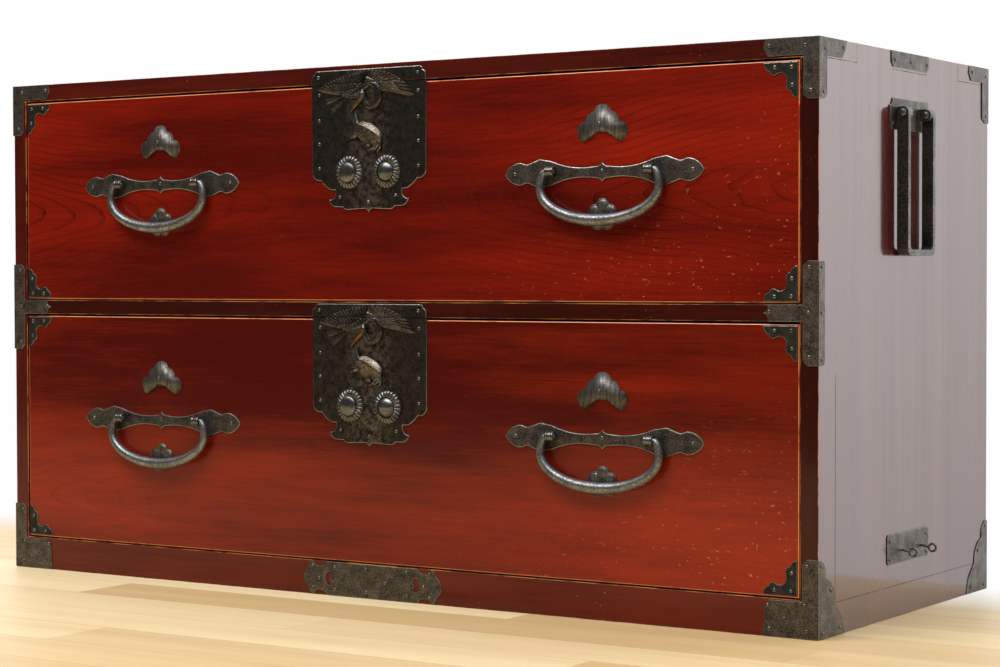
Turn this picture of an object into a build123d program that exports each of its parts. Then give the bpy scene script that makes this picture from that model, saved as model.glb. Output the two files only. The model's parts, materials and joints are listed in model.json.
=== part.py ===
from build123d import *
import cmath
import math
import os

# One section of a stacking clothing chest: a lacquered case with two drawers and iron fittings.
# Millimetres. X to the right, Y to the back, Z up. The origin is under the middle of the case.

os.makedirs("parts", exist_ok=True)

# ---- Case ----
case_width = 1100.0
case_depth = 451.0
case_height = 600.0
board = 20.0                 # side boards and top board
bottom_rail_height = 39.0
middle_rail_height = 17.0
lower_bay_height = 278.0     # clear height of the lower drawer's bay
rail_depth = 40.0
rail_tenon = 10.0            # how far a rail enters the side boards
tenon_shoulder = 3.0         # wood left above, below and beside a tenon
finger_count = 5             # fingers of the top corner joints
back_thickness = 10.0
bottom_board_thickness = 16.0
dust_board_thickness = 10.0
housing = 6.0                # depth of the grooves that hold bottom board and dust board
batten_width = 44.0
batten_spacing = 400.0
stop_width = 40.0
stop_height = 60.0

# ---- Drawers ----
front_thickness = 20.0
front_recess = 1.0           # drawer fronts stand this far behind the rails
front_gap_side = 1.5
front_gap_below = 1.6
front_gap_above = 2.5
front_edge_round = 1.2
drawer_run = 0.3             # running gap under a drawer
drawer_back_room = 10.0      # from a drawer's back to the back panel
drawer_side_thickness = 12.0
drawer_back_thickness = 12.0
drawer_bottom_thickness = 8.0
drawer_headroom = 8.0        # from the drawer sides' top to the bay's top
front_lip = 8.0              # wood of the front that covers the ends of the drawer sides

# ---- Iron sheet ----
arc_step = 30.0              # degrees between the corners of an arc in an outline
iron = 1.2                   # case irons
lock_iron = 1.6              # lock plates
pull_iron = 1.5              # handle plates
foot_gap = 0.5               # irons end this far above the floor

# ---- Irons round the case's front corners ----
arm_reach = 62.0             # how far the arms reach in from the corner
stile_cover = 18.0           # width of the arms
iron_corner = 5.0            # corners cut off the arms
top_iron_drop = 61.5
tee_half_height = 52.3
bottom_iron_height = 80.0
bottom_iron_length = 61.5
foot_iron_gap = 1.5          # below the bottom rail's top
flange_top = 64.5            # arms of the same irons on the case's side
flange_tee = 13.5
side_arm = 18.0
rear_arm_top = 59.5
rear_arm_width = 19.5
rear_iron_drop = 63.0
edge_plate_length = 99.5
edge_plate_height = 17.0
base_plate_half = 95.5
base_plate_x = 1.0
base_plate_gap = 0.5         # below the rail's top
base_plate_steps = (32.5, 23.5, 13.5, 7.5)   # where straight edge, notch, lobe and tip start, from the end
base_plate_notch = 5.2
base_plate_tip = 7.5
crescent_back = 34.5         # crescent's horns from the plate's end
crescent_half = 8.0

# ---- Locks ----
lock_x = -2.0
lock_half_width = 79.0
lock_side = 97.5             # straight side of the plate below the drawer's top edge
lock_foot_half = 55.0        # half width at the plate's horned foot
keeper_gap = 0.3             # keeper over the opening it ends at
keeper_margin = 4.8          # bare rail above the upper keeper
lower_keeper_margin = 2.0    # bare rail above the lower keeper
keeper_ear = 4.2             # rounding of the keeper's upper corners
lock_drop = 142.8            # from the drawer's top edge to the plate's tip
rosette_offset = 26.0
rosette_drop = 97.7
rosette_radius = 19.0
rosette_height = 5.0
rosette_slope = 3.0          # how far the petals lean in
petal_count = 24
petal_depth = 1.6
dome_rim = 1.0               # upright edge under a dome
button_radius = 11.4
button_height = 8.5          # crown above the lock plate
button_base = 3.8            # underside of the button's head above the lock plate
button_travel = 3.0
button_stem = 3.0            # radius
running_gap = 0.3            # round the button, the tortoise's pin and the bail ends
rod_sides = 10               # flats of rods and holes
dome_sides = 16
dome_rings = 3
keyhole_drop = 53.0
keyhole_radius = 3.4
keyhole_slot = 9.0
lock_case_half_width = 40.0
lock_case_top = 22.0         # below the drawer's top edge
lock_case_height = 92.0
lock_case_depth = 13.0
lock_case_wall = 1.5
bolt_width = 14.0
bolt_thickness = 5.0
bolt_length = 82.0
bolt_gap = 0.3
bolt_travel = 9.0
bolt_notch = 8.0
bolt_guide_height = 12.0
bolt_guide_width = 28.0
bolt_below_edge = 0.8        # the bolt's tip below the drawer's top edge
mortise_clearance = 1.0

# ---- Tortoise that swings over the keyhole ----
shell_half_length = 21.0
shell_half_width = 11.5
shell_crown = 5.5
shell_tilt = -24.0           # degrees, the head end is high
tortoise_limb = 2.2          # thickness of head, feet and tail
tortoise_pivot_rise = 9.0    # pivot above the keyhole
tortoise_gap = 0.4           # over the lock plate
tortoise_drop = 1.5          # its middle below the keyhole
pivot_radius = 1.6
pivot_length = 3.0

# ---- Drawer handles ----
corner_plate_margin = 1.6    # bare wood outside a corner plate
handle_left_share = 0.5866   # handles' middles, as shares of the drawer's half width
handle_right_share = 0.5701
handle_plate_half = 121.0
pull_stations = (9.0, 62.0, 91.5)        # beside the cusp, widest, notch before the end lobe
pull_half_heights = (6.2, 12.8, 10.2)    # and the plate's half height there
pull_cusp = 10.8
pull_hollow = 0.065          # of the long edges, as sagitta over chord
pivot_stand_off = 7.8        # pivot in front of the drawer face
pivot_rise = 1.5             # pivot above the handle plate's axis
bail_half_width = 72.3       # to the bar's centreline
bail_drop = 52.3
bail_shoulder = 17.0         # height of the turned-in shoulder
bail_stub_start = 54.5       # inner end of the pivot stub
bail_stub_end = 65.6
bail_end_radius = 3.2
bail_mid_radius = 6.6
bail_shoulder_share = 0.3    # of the way to the grip's middle
bail_stations = 6
bail_sides = 8
eye_x = 60.0
eye_radius = 5.6
eye_length = 10.4            # of the barrel that the bail's end turns in
eye_shank_radius = 2.4
eye_shank_length = 16.0
pine_rise = 49.5             # middle of the pine plate above the handle axis
plum_drop = 45.0             # centre of the plum plate below the handle axis
plum_spread = 9.6            # radius of the notches between petals
plum_petal = 8.4             # how far the petals reach beyond it
plum_chords = 6              # a petal's edge
strike_edge = 1.0            # landing plates: thickness at the rim
strike_crown = 2.5           # and in the middle

# ---- Carry handles on the sides ----
carry_pivot_drop = 65.0      # below the case's top
carry_y = -3.3
carry_stand_off = 9.3
carry_half_span = 36.65      # to the outer faces of the legs
carry_leg = 6.3
carry_bar = 13.0
carry_drop = 151.0
carry_bend = 9.0
carry_plate_height = 33.0
carry_plate_half = 54.5
carry_plate_drop = 66.5      # its middle below the case's top
carry_plate_y = -0.3
lug_thickness = 6.0
lug_radius = 6.6
carry_pin_radius = 2.5
carry_pin_head = 4.4
carry_pin_crown = 2.6
carry_pin_proud = 0.6        # beyond the leg
carry_iron = 1.5

# ---- Ring pins low on the sides ----
ring_plate_z = 73.0
ring_plate_height = 32.0
ring_plate_half = 55.0
ring_pin_spacing = 52.0
ring_pin_y = 7.0
ring_reach = 14.0            # ring centre beyond the side board
ring_droop = 5.0
ring_radius = 4.0
ring_wire = 1.3
ring_shank = 1.5             # radius
ring_pin_depth = 14.0        # in the side board
ring_pin_rise = 1.0          # the shank enters this far above the plate's middle

# ---- Nails ----
nail_head = 2.4
nail_height = 1.2
nail_shank = 1.0
nail_length = 9.0

# ---- Worked out ----
half_width = case_width / 2
half_depth = case_depth / 2
inner_half = half_width - board
front_y = -half_depth
face_y = front_y + front_recess
lower_bay = (bottom_rail_height, bottom_rail_height + lower_bay_height)
upper_bay = (lower_bay[1] + middle_rail_height, case_height - board)
drawer_half = inner_half - front_gap_side
drawer_back_y = half_depth - back_thickness - drawer_back_room
handle_left_x = -handle_left_share * drawer_half
handle_right_x = handle_right_share * drawer_half
lock_y = face_y - lock_iron
pivot_y = face_y - pivot_stand_off
carry_pivot_z = case_height - carry_pivot_drop
carry_plate_z = case_height - carry_plate_drop


class Drawer:
    """Heights of one drawer and of the fittings on it."""

    def __init__(self, name, bay, handle_drop, keeper_top):
        self.name = name
        self.bay = bay
        self.base = bay[0] + drawer_run
        self.front_low = bay[0] + front_gap_below
        self.top = bay[1] - front_gap_above
        self.handle_z = self.top - handle_drop
        self.pivot_z = self.handle_z + pivot_rise
        self.keeper = (bay[1] + keeper_gap, keeper_top)


drawers = [
    Drawer("upper", upper_bay, 105.5, case_height - keeper_margin),
    Drawer("lower", lower_bay, 123.5, upper_bay[0] - lower_keeper_margin),
]


# ---- Helpers ----
def block(x, y, z):
    """Box between low and high limits along each axis."""
    spans = (x, y, z)
    size = [high - low for low, high in spans]
    middle = [(low + high) / 2 for low, high in spans]
    return Pos(*middle) * Box(*size)


def arc_points(start, end, bulge):
    """Points inside an arc, arc_step apart; the bulge is sagitta over chord, to the left of the way."""
    sweep = 4 * math.atan(2 * bulge)
    steps = math.ceil(abs(sweep) / math.radians(arc_step))
    chord = complex(*end) - complex(*start)
    for i in range(1, steps):
        turn = sweep * i / steps
        reach = math.sin(turn / 2) / math.sin(sweep / 2)
        point = complex(*start) + chord * reach * cmath.exp(0.5j * (sweep - turn))
        yield (point.real, point.imag)


def outline(start, *moves, mirrored=False):
    """Face inside a path of moves (u, v) or (u, v, bulge), each arc cut in short chords."""
    points = [start]
    for u, v, *bulge in moves:
        if bulge:
            points += arc_points(points[-1], (u, v), bulge[0])
        points.append((u, v))
    if mirrored:
        points += [(-u, v) for u, v in reversed(points)]
    return polygon([a for a, b in zip(points, points[1:] + points[:1]) if math.dist(a, b) > 0.001])


def round_points(u_radius, v_radius, sides):
    """Corners of a circle or an ellipse with straight sides."""
    turns = [2 * math.pi * i / sides for i in range(sides)]
    return [(u_radius * math.cos(turn), v_radius * math.sin(turn)) for turn in turns]


def polygon(points):
    return Face(Wire(Polyline(*points, close=True)))


def on_front(face, y, thickness, at=(0, 0)):
    """Plate on a surface that faces the front, its outline drawn in X and Z."""
    return extrude(front_plane(y, at) * face, amount=thickness, dir=(0, -1, 0))


def on_side(face, x, thickness, at=(0, 0)):
    """Plate on the right side of the case, its outline drawn in Y and Z."""
    plane = Plane((x, at[0], at[1]), x_dir=(0, 1, 0), z_dir=(1, 0, 0))
    return extrude(plane * face, amount=thickness, dir=(1, 0, 0))


def across(shape):
    """The same shape mirrored to the other side of the middle plane."""
    return mirror(shape, about=Plane.YZ)


def group(shapes):
    """Separate solids in one node."""
    return Compound([solid for shape in shapes for solid in shape.solids()])


def both_sides(shapes):
    """Right-hand shapes and their mirror images."""
    return group(shapes + [across(shape) for shape in shapes])


def rod(direction, radius, start, length):
    """Round bar from a start point, filed in flats."""
    return extrude(Plane(start, z_dir=direction) * RegularPolygon(radius, rod_sides), amount=length)


def ring(plane, points):
    """Points drawn on a plane."""
    return [plane.from_local_coords(point) for point in points]


def facets(a, b, c, d):
    """Flat face between four points, or two where the points are twisted."""
    twist = (b - a).cross(c - a).dot(d - a)
    corners = [(a, b, c, d)] if abs(twist) < 1e-6 else [(a, b, c), (a, c, d)]
    return [polygon(points) for points in corners]


def faceted(rings):
    """Ruled loft through rings of points, with flat facets."""
    faces = [polygon(rings[0]), polygon(rings[-1])]
    for low, high in zip(rings, rings[1:]):
        for i in range(len(low)):
            faces += facets(low[i - 1], low[i], high[i], high[i - 1])
    return Solid(Shell(faces))


def dome(base, radius, rim, rise):
    """Round cap over a base plane: an upright rim and a crown in rings of facets."""
    rings = [ring(base, round_points(radius, radius, dome_sides))]
    last = math.pi / 2 * (1 - 1 / dome_rings)
    for i in range(dome_rings):
        angle = math.pi / 2 * i / dome_rings
        height = rim + rise * math.sin(angle) / math.sin(last)
        inner = radius * math.cos(angle)
        rings.append(ring(base.offset(height), round_points(inner, inner, dome_sides)))
    return faceted(rings)


def front_plane(y, at=(0, 0)):
    """Plane that faces the front, with its X to the right."""
    return Plane((at[0], y, at[1]), x_dir=(1, 0, 0), z_dir=(0, -1, 0))


# ---- Case woodwork ----
def finger_spans(first):
    """Y spans of every second finger of the top joint."""
    width = case_depth / finger_count
    return [(front_y + i * width, front_y + (i + 1) * width) for i in range(first, finger_count, 2)]


def right_side_board():
    body = block((inner_half, half_width), (front_y, half_depth), (0, case_height))
    for span in finger_spans(0):
        body -= block((inner_half, half_width), span, (upper_bay[1], case_height))
    body -= block((inner_half, inner_half + back_thickness), back_span(), (bottom_low(), case_height))
    for low, high, width in shelf_grooves():
        body -= block((inner_half, inner_half + width), (front_y + rail_depth, half_depth), (low, high))
    for low, high in (rail_tenon_span(upper_bay[0], middle_rail_height),
                      rail_tenon_span(lower_bay[0], bottom_rail_height)):
        body -= block((inner_half, inner_half + rail_tenon), tenon_depth_span(), (low, high))
    return body


def back_span():
    return (half_depth - back_thickness, half_depth)


def bottom_low():
    return bottom_rail_height - bottom_board_thickness


def shelf_grooves():
    """Low and high edge and depth of the grooves for the bottom board and the dust board."""
    return [(bottom_low(), bottom_rail_height, housing),
            (upper_bay[0] - dust_board_thickness, upper_bay[0], housing)]


def rail_tenon_span(rail_top, height):
    return (rail_top - height + tenon_shoulder, rail_top - tenon_shoulder)


def tenon_depth_span():
    return (front_y + tenon_shoulder, front_y + rail_depth - tenon_shoulder)


def bolt_mortise(bay_top):
    """Hole in the rail over a lock bolt."""
    reach = bay_top - front_gap_above - bolt_below_edge + bolt_travel + mortise_clearance
    side = bolt_width / 2 + mortise_clearance
    low_y, high_y = bolt_depth_span()
    return block((lock_x - side, lock_x + side), (low_y - mortise_clearance, high_y + mortise_clearance),
                 (bay_top - 1, reach))


def bolt_depth_span():
    """The bolt slides in the middle of the lock case's depth."""
    middle = face_y + lock_case_depth / 2
    return (middle - bolt_thickness / 2, middle + bolt_thickness / 2)


def top_board():
    body = block((-half_width, half_width), (front_y, half_depth), (upper_bay[1], case_height))
    for span in finger_spans(1):
        for side in (-1, 1):
            ends = sorted((side * inner_half, side * half_width))
            body -= block(ends, span, (upper_bay[1], case_height))
    body -= block((-inner_half - back_thickness, inner_half + back_thickness), back_span(),
                  (upper_bay[1], upper_bay[1] + back_thickness))
    return body - bolt_mortise(upper_bay[1])


def rail(rail_top, height):
    body = block((-inner_half, inner_half), (front_y, front_y + rail_depth), (rail_top - height, rail_top))
    reach = inner_half + rail_tenon
    return body + block((-reach, reach), tenon_depth_span(), rail_tenon_span(rail_top, height))


def middle_rail():
    return rail(upper_bay[0], middle_rail_height) - bolt_mortise(lower_bay[1])


def shelf(low, high):
    """Board behind a rail, let into the side boards."""
    reach = inner_half + housing
    return block((-reach, reach), (front_y + rail_depth, half_depth - back_thickness), (low, high))


def bottom_battens():
    """Battens under the bottom board; the chest stands on these, the side boards and the rail."""
    span = (front_y + rail_depth, half_depth - back_thickness)
    return group([block((x - batten_width / 2, x + batten_width / 2), span, (0, bottom_low()))
                  for x in (-batten_spacing, 0, batten_spacing)])


def back_panel():
    reach = inner_half + back_thickness
    return block((-reach, reach), back_span(), (bottom_low(), upper_bay[1] + back_thickness))


def drawer_stops():
    """Blocks on the shelves that stop each drawer when its front is home."""
    span = (drawer_back_y + drawer_run, half_depth - back_thickness)
    stops = []
    for drawer in drawers:
        for side in (-1, 1):
            x = side * (inner_half - 2 * stop_width)
            stops.append(block((x - stop_width / 2, x + stop_width / 2), span,
                               (drawer.bay[0], drawer.bay[0] + stop_height)))
    return group(stops)


# ---- Case irons: the right-hand ones are drawn, the left-hand ones mirror them ----
def wrapped(front_face, side_face, z):
    """Iron bent round the front right edge: u runs from that edge, v up from height z."""
    front = on_front(front_face, front_y, iron, at=(half_width + iron, z))
    side = on_side(side_face, half_width, iron, at=(front_y - iron, z))
    return front + side


def top_corner_iron():
    cut = iron_corner
    front = outline((0, 0), (0, -top_iron_drop), (-stile_cover + cut, -top_iron_drop),
                    (-stile_cover, -top_iron_drop + cut), (-stile_cover, -stile_cover),
                    (-arm_reach + cut, -stile_cover), (-arm_reach, -stile_cover / 2),
                    (-arm_reach + cut / 2, 0))
    side = outline((0, 0), (flange_top, 0), (flange_top - cut / 2, -stile_cover / 2),
                   (flange_top - 2 * cut, -stile_cover), (side_arm, -stile_cover),
                   (side_arm, -top_iron_drop + cut), (side_arm - cut, -top_iron_drop), (0, -top_iron_drop))
    return wrapped(front, side, case_height)


TOP_IRON_NAILS = [(-55.4, -7.5), (-15.5, -8.6), (-9.5, -53.2)]
TOP_FLANGE_NAILS = [(14.5, -11.5), (56.0, -7.5), (9.8, -54.5)]


def middle_corner_iron():
    half, arm, cut = tee_half_height, middle_rail_height / 2, iron_corner
    stem = [(0, half), (0, -half), (-stile_cover + cut, -half), (-stile_cover, -half + cut)]
    tongue = [(-stile_cover, -arm), (-arm_reach + cut, -arm), (-arm_reach, 0, -0.25),
              (-arm_reach + cut, arm, -0.25), (-stile_cover, arm), (-stile_cover, half - cut),
              (-stile_cover + cut, half)]
    front = outline(*stem, *tongue)
    side = outline((0, -half), (flange_tee - cut / 2, -half), (flange_tee, -half + cut / 2),
                   (flange_tee, half - cut / 2), (flange_tee - cut / 2, half), (0, half))
    return wrapped(front, side, upper_bay[0] - arm)


TEE_NAILS = [(-11.0, 46.0), (-12.0, 1.0), (-11.0, -43.7), (-55.3, 1.0)]
TEE_FLANGE_NAILS = [(6.5, 46.3), (6.5, 0.5), (6.5, -46.0)]


def bottom_corner_iron():
    cut, block_top = iron_corner, bottom_rail_height - foot_iron_gap
    front = outline((0, foot_gap), (0, bottom_iron_height), (-stile_cover + cut, bottom_iron_height),
                    (-stile_cover, bottom_iron_height - cut), (-stile_cover, block_top),
                    (-arm_reach + 1.5 * cut, block_top), (-arm_reach + cut / 2, block_top - 1.5 * cut),
                    (-arm_reach, foot_gap))
    return wrapped(front, scallop(), 0)


def scallop():
    """Side of a bottom corner iron: three lobes that step down from the upright to the foot."""
    reach, high = bottom_iron_length, bottom_iron_height
    return outline((0, foot_gap), (0, high), (0.1 * reach, high), (0.28 * reach, 0.76 * high, 0.18),
                   (0.63 * reach, 0.42 * high, 0.2), (reach, foot_gap, 0.12))


BOTTOM_IRON_NAILS = [(-13, 73), (-16, 34), (-56.5, 31.5), (-38, 19.5), (-54.5, 8), (-13.5, 8)]
SCALLOP_NAILS = [(5.5, 74), (28.5, 47.5), (49, 7.8), (9, 6.5)]


def rear_top_iron():
    """Flat on the side at the rear top corner: u runs forward from the back edge."""
    cut, arm = iron_corner, stile_cover - 1
    face = outline((0, 0), (0, -rear_iron_drop), (-rear_arm_width / 2, -rear_iron_drop),
                   (-rear_arm_width, -rear_iron_drop + cut), (-rear_arm_width, -arm),
                   (-rear_arm_top + 1.5 * cut, -arm), (-rear_arm_top, -arm / 2), (-rear_arm_top + cut / 2, 0))
    return on_side(face, half_width, iron, at=(half_depth, case_height))


REAR_TOP_NAILS = [(-49.5, -7), (-8, -9.5), (-8, -55)]


def rear_bottom_iron():
    face = mirror(scallop(), about=Plane.YZ)
    return on_side(face, half_width, iron, at=(half_depth, 0))


def top_edge_plate():
    half, tall, cut = edge_plate_length / 2, edge_plate_height, iron_corner
    face = outline((half, 0), (half, -tall + cut), (half - cut, -tall), (-half + cut, -tall),
                   (-half, -tall + cut), (-half, 0))
    return on_side(face, half_width, iron, at=(0, case_height))


EDGE_PLATE_NAILS = [(-41, -9.5), (0.5, -9.5), (45, -9.5)]


def base_plate():
    """Long plate on the bottom rail with ogee ends and a crescent cut in each."""
    middle = (bottom_rail_height - base_plate_gap + foot_gap) / 2
    high = bottom_rail_height - base_plate_gap - middle
    straight, notch, lobe, tip = [base_plate_half - back for back in base_plate_steps]
    deep, low = high - base_plate_notch, high - base_plate_tip
    right = [(straight, high), (notch, deep, -0.18), (lobe, high, -0.22), (tip, low, 0.2),
             (base_plate_half, 0, 0.12), (tip, -low, 0.12), (lobe, -high, 0.2), (notch, -deep, -0.22),
             (straight, -high, -0.18), (0, -high)]
    face = outline((0, high), *right, mirrored=True)
    c, r = base_plate_half - crescent_back, crescent_half
    crescent = outline((c, r), (c, -r, 0.28), (c - r / 2, -r / 2, 0.3), (c - r / 4, 0), (c - r / 2, r / 2),
                       (c, r, 0.3))
    face = face - crescent - mirror(crescent, about=Plane.YZ)
    return on_front(face, front_y, iron, at=(base_plate_x, middle))


BASE_NAILS = [(x, z) for x in (-82, -51, -7, 49, 80) for z in (33.2, 7.0)]
BASE_NAILS += [(x, 19.0) for x in (-73, -31, 19.5, 72)]


# ---- Locks ----
def keeper_plate(drawer):
    """The lock plate's upper piece, on the rail."""
    low, high = drawer.keeper
    tall = high - low
    half, ear = lock_half_width, keeper_ear
    face = outline((0, tall), (half - 2 * ear, tall), (half - ear, tall - ear, 0.2),
                   (half, tall - 2.6 * ear, 0.2), (half, 0), (0, 0), mirrored=True)
    return on_front(face, front_y, lock_iron, at=(lock_x, low))


def lock_outline():
    """The drawer's piece of the lock plate; it covers the gap above the drawer, whose top edge is v = 0."""
    half, foot, tip = lock_half_width, lock_foot_half, lock_drop
    over = front_gap_above - keeper_gap
    return outline((0, over), (half, over), (half, -lock_side), (half - 12, -lock_side - 8.5, 0.22),
                   (half - 20, -lock_side - 16, 0.05), (foot - 8.5, -lock_side - 19.5, 0.12),
                   (foot, -tip + 15, -0.3), (foot - 12, -tip + 6.4, 0.2), (foot - 19, -tip + 6.4),
                   (foot - 27, -tip + 3, 0.15), (5, -tip + 4.2, 0.04), (0, -tip, -0.12), mirrored=True)


def keyhole():
    """Round hole with a slot below for the key's bit."""
    slot = Pos(0, -keyhole_slot / 2) * Rectangle(keyhole_radius, keyhole_slot)
    return RegularPolygon(keyhole_radius, rod_sides) + slot


def pin_hole(radius):
    """Hole for a rod with its running gap."""
    return RegularPolygon(radius + running_gap, rod_sides)


def lock_plate(drawer):
    plate = on_front(lock_outline(), face_y, lock_iron, at=(lock_x, drawer.top))
    holes = [on_front(keyhole(), face_y, lock_iron, at=(lock_x, drawer.top - keyhole_drop)),
             on_front(pin_hole(button_stem), face_y, lock_iron, at=rosette_at(drawer, -1)),
             on_front(pin_hole(pivot_radius), face_y, lock_iron, at=tortoise_at(drawer))]
    for hole in holes:
        plate -= hole
    return plate


def rosette_at(drawer, side):
    return (lock_x + side * rosette_offset, drawer.top - rosette_drop)


def tortoise_at(drawer):
    return (lock_x, drawer.top - keyhole_drop + tortoise_pivot_rise)


def star(radius):
    """Corners of the petals' outline."""
    notch = 1 - petal_depth / 2 / rosette_radius
    turns = [math.pi * i / petal_count for i in range(2 * petal_count)]
    reach = [radius * (notch if i % 2 else 1) for i in range(2 * petal_count)]
    return [(r * math.cos(turn), r * math.sin(turn)) for r, turn in zip(reach, turns)]


def petal_ring(at):
    """Fluted chrysanthemum ring: a star outline that shrinks as it rises."""
    body = faceted([ring(front_plane(lock_y, at), star(rosette_radius)),
                    ring(front_plane(lock_y - rosette_height, at), star(rosette_radius - rosette_slope))])
    bore = on_front(RegularPolygon(button_radius + running_gap, dome_sides), lock_y, rosette_height, at=at)
    return body - bore


def lock_rosettes(drawer):
    """Two petal rings; the right one has its centre boss, the left one holds the button."""
    left, right = rosette_at(drawer, -1), rosette_at(drawer, 1)
    boss = dome(front_plane(lock_y, right), button_radius + running_gap, button_base + dome_rim,
                button_height - button_base - dome_rim)
    return group([petal_ring(left), petal_ring(right) + boss])


def lock_button(drawer):
    at = rosette_at(drawer, -1)
    stem_start = (at[0], lock_y - button_base, at[1])
    stem_length = button_base + lock_iron + lock_case_depth / 2
    stem = rod((0, 1, 0), button_stem, stem_start, stem_length)
    head = dome(front_plane(lock_y - button_base, at), button_radius, dome_rim,
                button_height - button_base - dome_rim)
    return head + stem


def lock_tortoise(drawer):
    """Domed shell with head, feet and tail; a pin behind it turns in the lock plate."""
    long, wide = shell_half_length, shell_half_width
    flat = polygon(round_points(long, wide, dome_sides))
    flat += Pos(-long, -2) * polygon(round_points(6.5, 3.2, 8))
    flat += Pos(long, 2.5) * polygon(round_points(5.0, 2.2, 8))
    for u in (-14, 14):
        flat += Pos(u, wide - 1) * polygon(round_points(4.0, 4.6, 8))
    tilt = math.radians(shell_tilt)
    base = Plane((lock_x, lock_y - tortoise_gap, drawer.top - keyhole_drop - tortoise_drop),
                 x_dir=(math.cos(tilt), 0, math.sin(tilt)), z_dir=(0, -1, 0))
    body = extrude(base * mirror(flat, about=Plane.XZ), amount=tortoise_limb, dir=(0, -1, 0))
    crown = faceted([ring(base.offset(shell_crown * rise), round_points(long * share, wide * share, dome_sides))
                     for share, rise in ((1.0, 0.0), (0.8, 0.6), (0.4, 1.0))])
    pin_x, pin_z = tortoise_at(drawer)
    pin = rod((0, 1, 0), pivot_radius, (pin_x, lock_y - tortoise_gap, pin_z), pivot_length)
    return body + crown + pin


def lock_case_box(drawer):
    high = drawer.top - lock_case_top
    return ((lock_x - lock_case_half_width, lock_x + lock_case_half_width),
            (face_y, face_y + lock_case_depth), (high - lock_case_height, high))


def bolt_slot(drawer, low, high):
    """Space that the bolt slides in."""
    side = bolt_width / 2 + bolt_gap
    low_y, high_y = bolt_depth_span()
    return block((lock_x - side, lock_x + side), (low_y - bolt_gap, high_y + bolt_gap), (low, high))


def lock_case(drawer):
    """Iron tray behind the lock plate, with a guide block for the bolt's foot."""
    x, y, z = lock_case_box(drawer)
    wall = lock_case_wall
    tray = block(x, y, z)
    tray -= block((x[0] + wall, x[1] - wall), (y[0], y[1] - wall), (z[0] + wall, z[1] - wall))
    tray -= bolt_slot(drawer, z[1] - wall, z[1])
    foot = drawer.top - bolt_below_edge - bolt_length
    guide_top = foot + bolt_guide_height
    half = bolt_guide_width / 2
    guide = block((lock_x - half, lock_x + half), (y[0] + bolt_gap, y[1] - wall), (z[0] + wall, guide_top))
    return tray + (guide - bolt_slot(drawer, foot, guide_top))


def lock_bolt(drawer):
    """Bar with a notch for the key's bit; it rises into the rail's mortise."""
    high = drawer.top - bolt_below_edge
    side = bolt_width / 2
    bar = block((lock_x - side, lock_x + side), bolt_depth_span(), (high - bolt_length, high))
    notch_low = drawer.top - keyhole_drop - keyhole_slot - bolt_notch / 2
    notch = block((lock_x - side, lock_x), bolt_depth_span(), (notch_low, notch_low + bolt_notch))
    return bar - notch


# ---- Drawer woodwork ----
def drawer_front(drawer):
    y = (face_y, face_y + front_thickness)
    body = block((-drawer_half, drawer_half), y, (drawer.front_low, drawer.top))
    body = fillet(body.faces().sort_by(Axis.Y)[0].edges(), front_edge_round)
    rebate_y = (face_y + front_lip, face_y + front_thickness)
    for side in (-1, 1):
        ends = sorted((side * (drawer_half - drawer_side_thickness), side * drawer_half))
        body -= block(ends, rebate_y, (drawer.front_low, drawer.top))
    body -= block((-drawer_half, drawer_half), rebate_y,
                  (drawer.front_low, drawer.base + drawer_bottom_thickness))
    body -= block(*lock_case_box(drawer))
    body -= bolt_slot(drawer, drawer.top - lock_case_top, drawer.top)
    return body


def drawer_side_span(drawer):
    return (drawer.base + drawer_bottom_thickness, drawer.bay[1] - drawer_headroom)


def drawer_sides(drawer):
    span = (face_y + front_lip, drawer_back_y)
    inner = drawer_half - drawer_side_thickness
    return both_sides([block((inner, drawer_half), span, drawer_side_span(drawer))])


def drawer_back(drawer):
    inner = drawer_half - drawer_side_thickness
    return block((-inner, inner), (drawer_back_y - drawer_back_thickness, drawer_back_y),
                 drawer_side_span(drawer))


def drawer_bottom(drawer):
    return block((-drawer_half, drawer_half), (face_y + front_lip, drawer_back_y),
                 (drawer.base, drawer.base + drawer_bottom_thickness))


# ---- Drawer fittings ----
def corner_plate():
    """Scalloped plate for a drawer's top right corner, which is the origin."""
    return outline((0, 0), (0, -35.8), (-2.5, -35.4), (-7.5, -30, 0.12), (-13, -24.5, 0.12),
                   (-12.3, -20.5), (-23.7, -11.8, -0.36), (-26.8, -13.2), (-31.3, -9.2, 0.12),
                   (-37.2, -3, 0.12), (-37.7, 0))


CORNER_NAILS = [(-25.4, -4.8), (-6.8, -5.2), (-5.9, -23.0)]


def drawer_corners(drawer):
    """Place of each corner of the drawer front, and the way its plate is mirrored."""
    x = drawer_half - corner_plate_margin
    for side in (1, -1):
        yield (side * x, drawer.top - corner_plate_margin), side, 1
        yield (side * x, drawer.front_low + corner_plate_margin), side, -1


def corner_plates(drawer):
    plates = []
    for at, side, up in drawer_corners(drawer):
        face = corner_plate()
        if side < 0:
            face = mirror(face, about=Plane.YZ)
        if up < 0:
            face = mirror(face, about=Plane.XZ)
        plates.append(on_front(face, face_y, iron, at=at))
    return group(plates)


def handle_plate():
    """Long plate with a cusp in the middle and lobed ends."""
    half, (neck, belly, lobe), (waist, wide, pinch) = handle_plate_half, pull_stations, pull_half_heights
    right = [(neck, waist, -0.16), (belly, wide, -pull_hollow), (lobe, pinch, 0.13), (half, 0, 0.2),
             (lobe, -pinch, 0.2), (belly, -wide, 0.13), (neck, -waist, -pull_hollow), (0, -pull_cusp, -0.16)]
    return outline((0, pull_cusp), *right, mirrored=True)


HANDLE_NAILS = [(-108, 0), (0, 1.5), (108, 0)]


def pull_plates(drawer):
    return group([on_front(handle_plate(), face_y, pull_iron, at=(x, drawer.handle_z))
                  for x in (handle_left_x, handle_right_x)])


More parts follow.
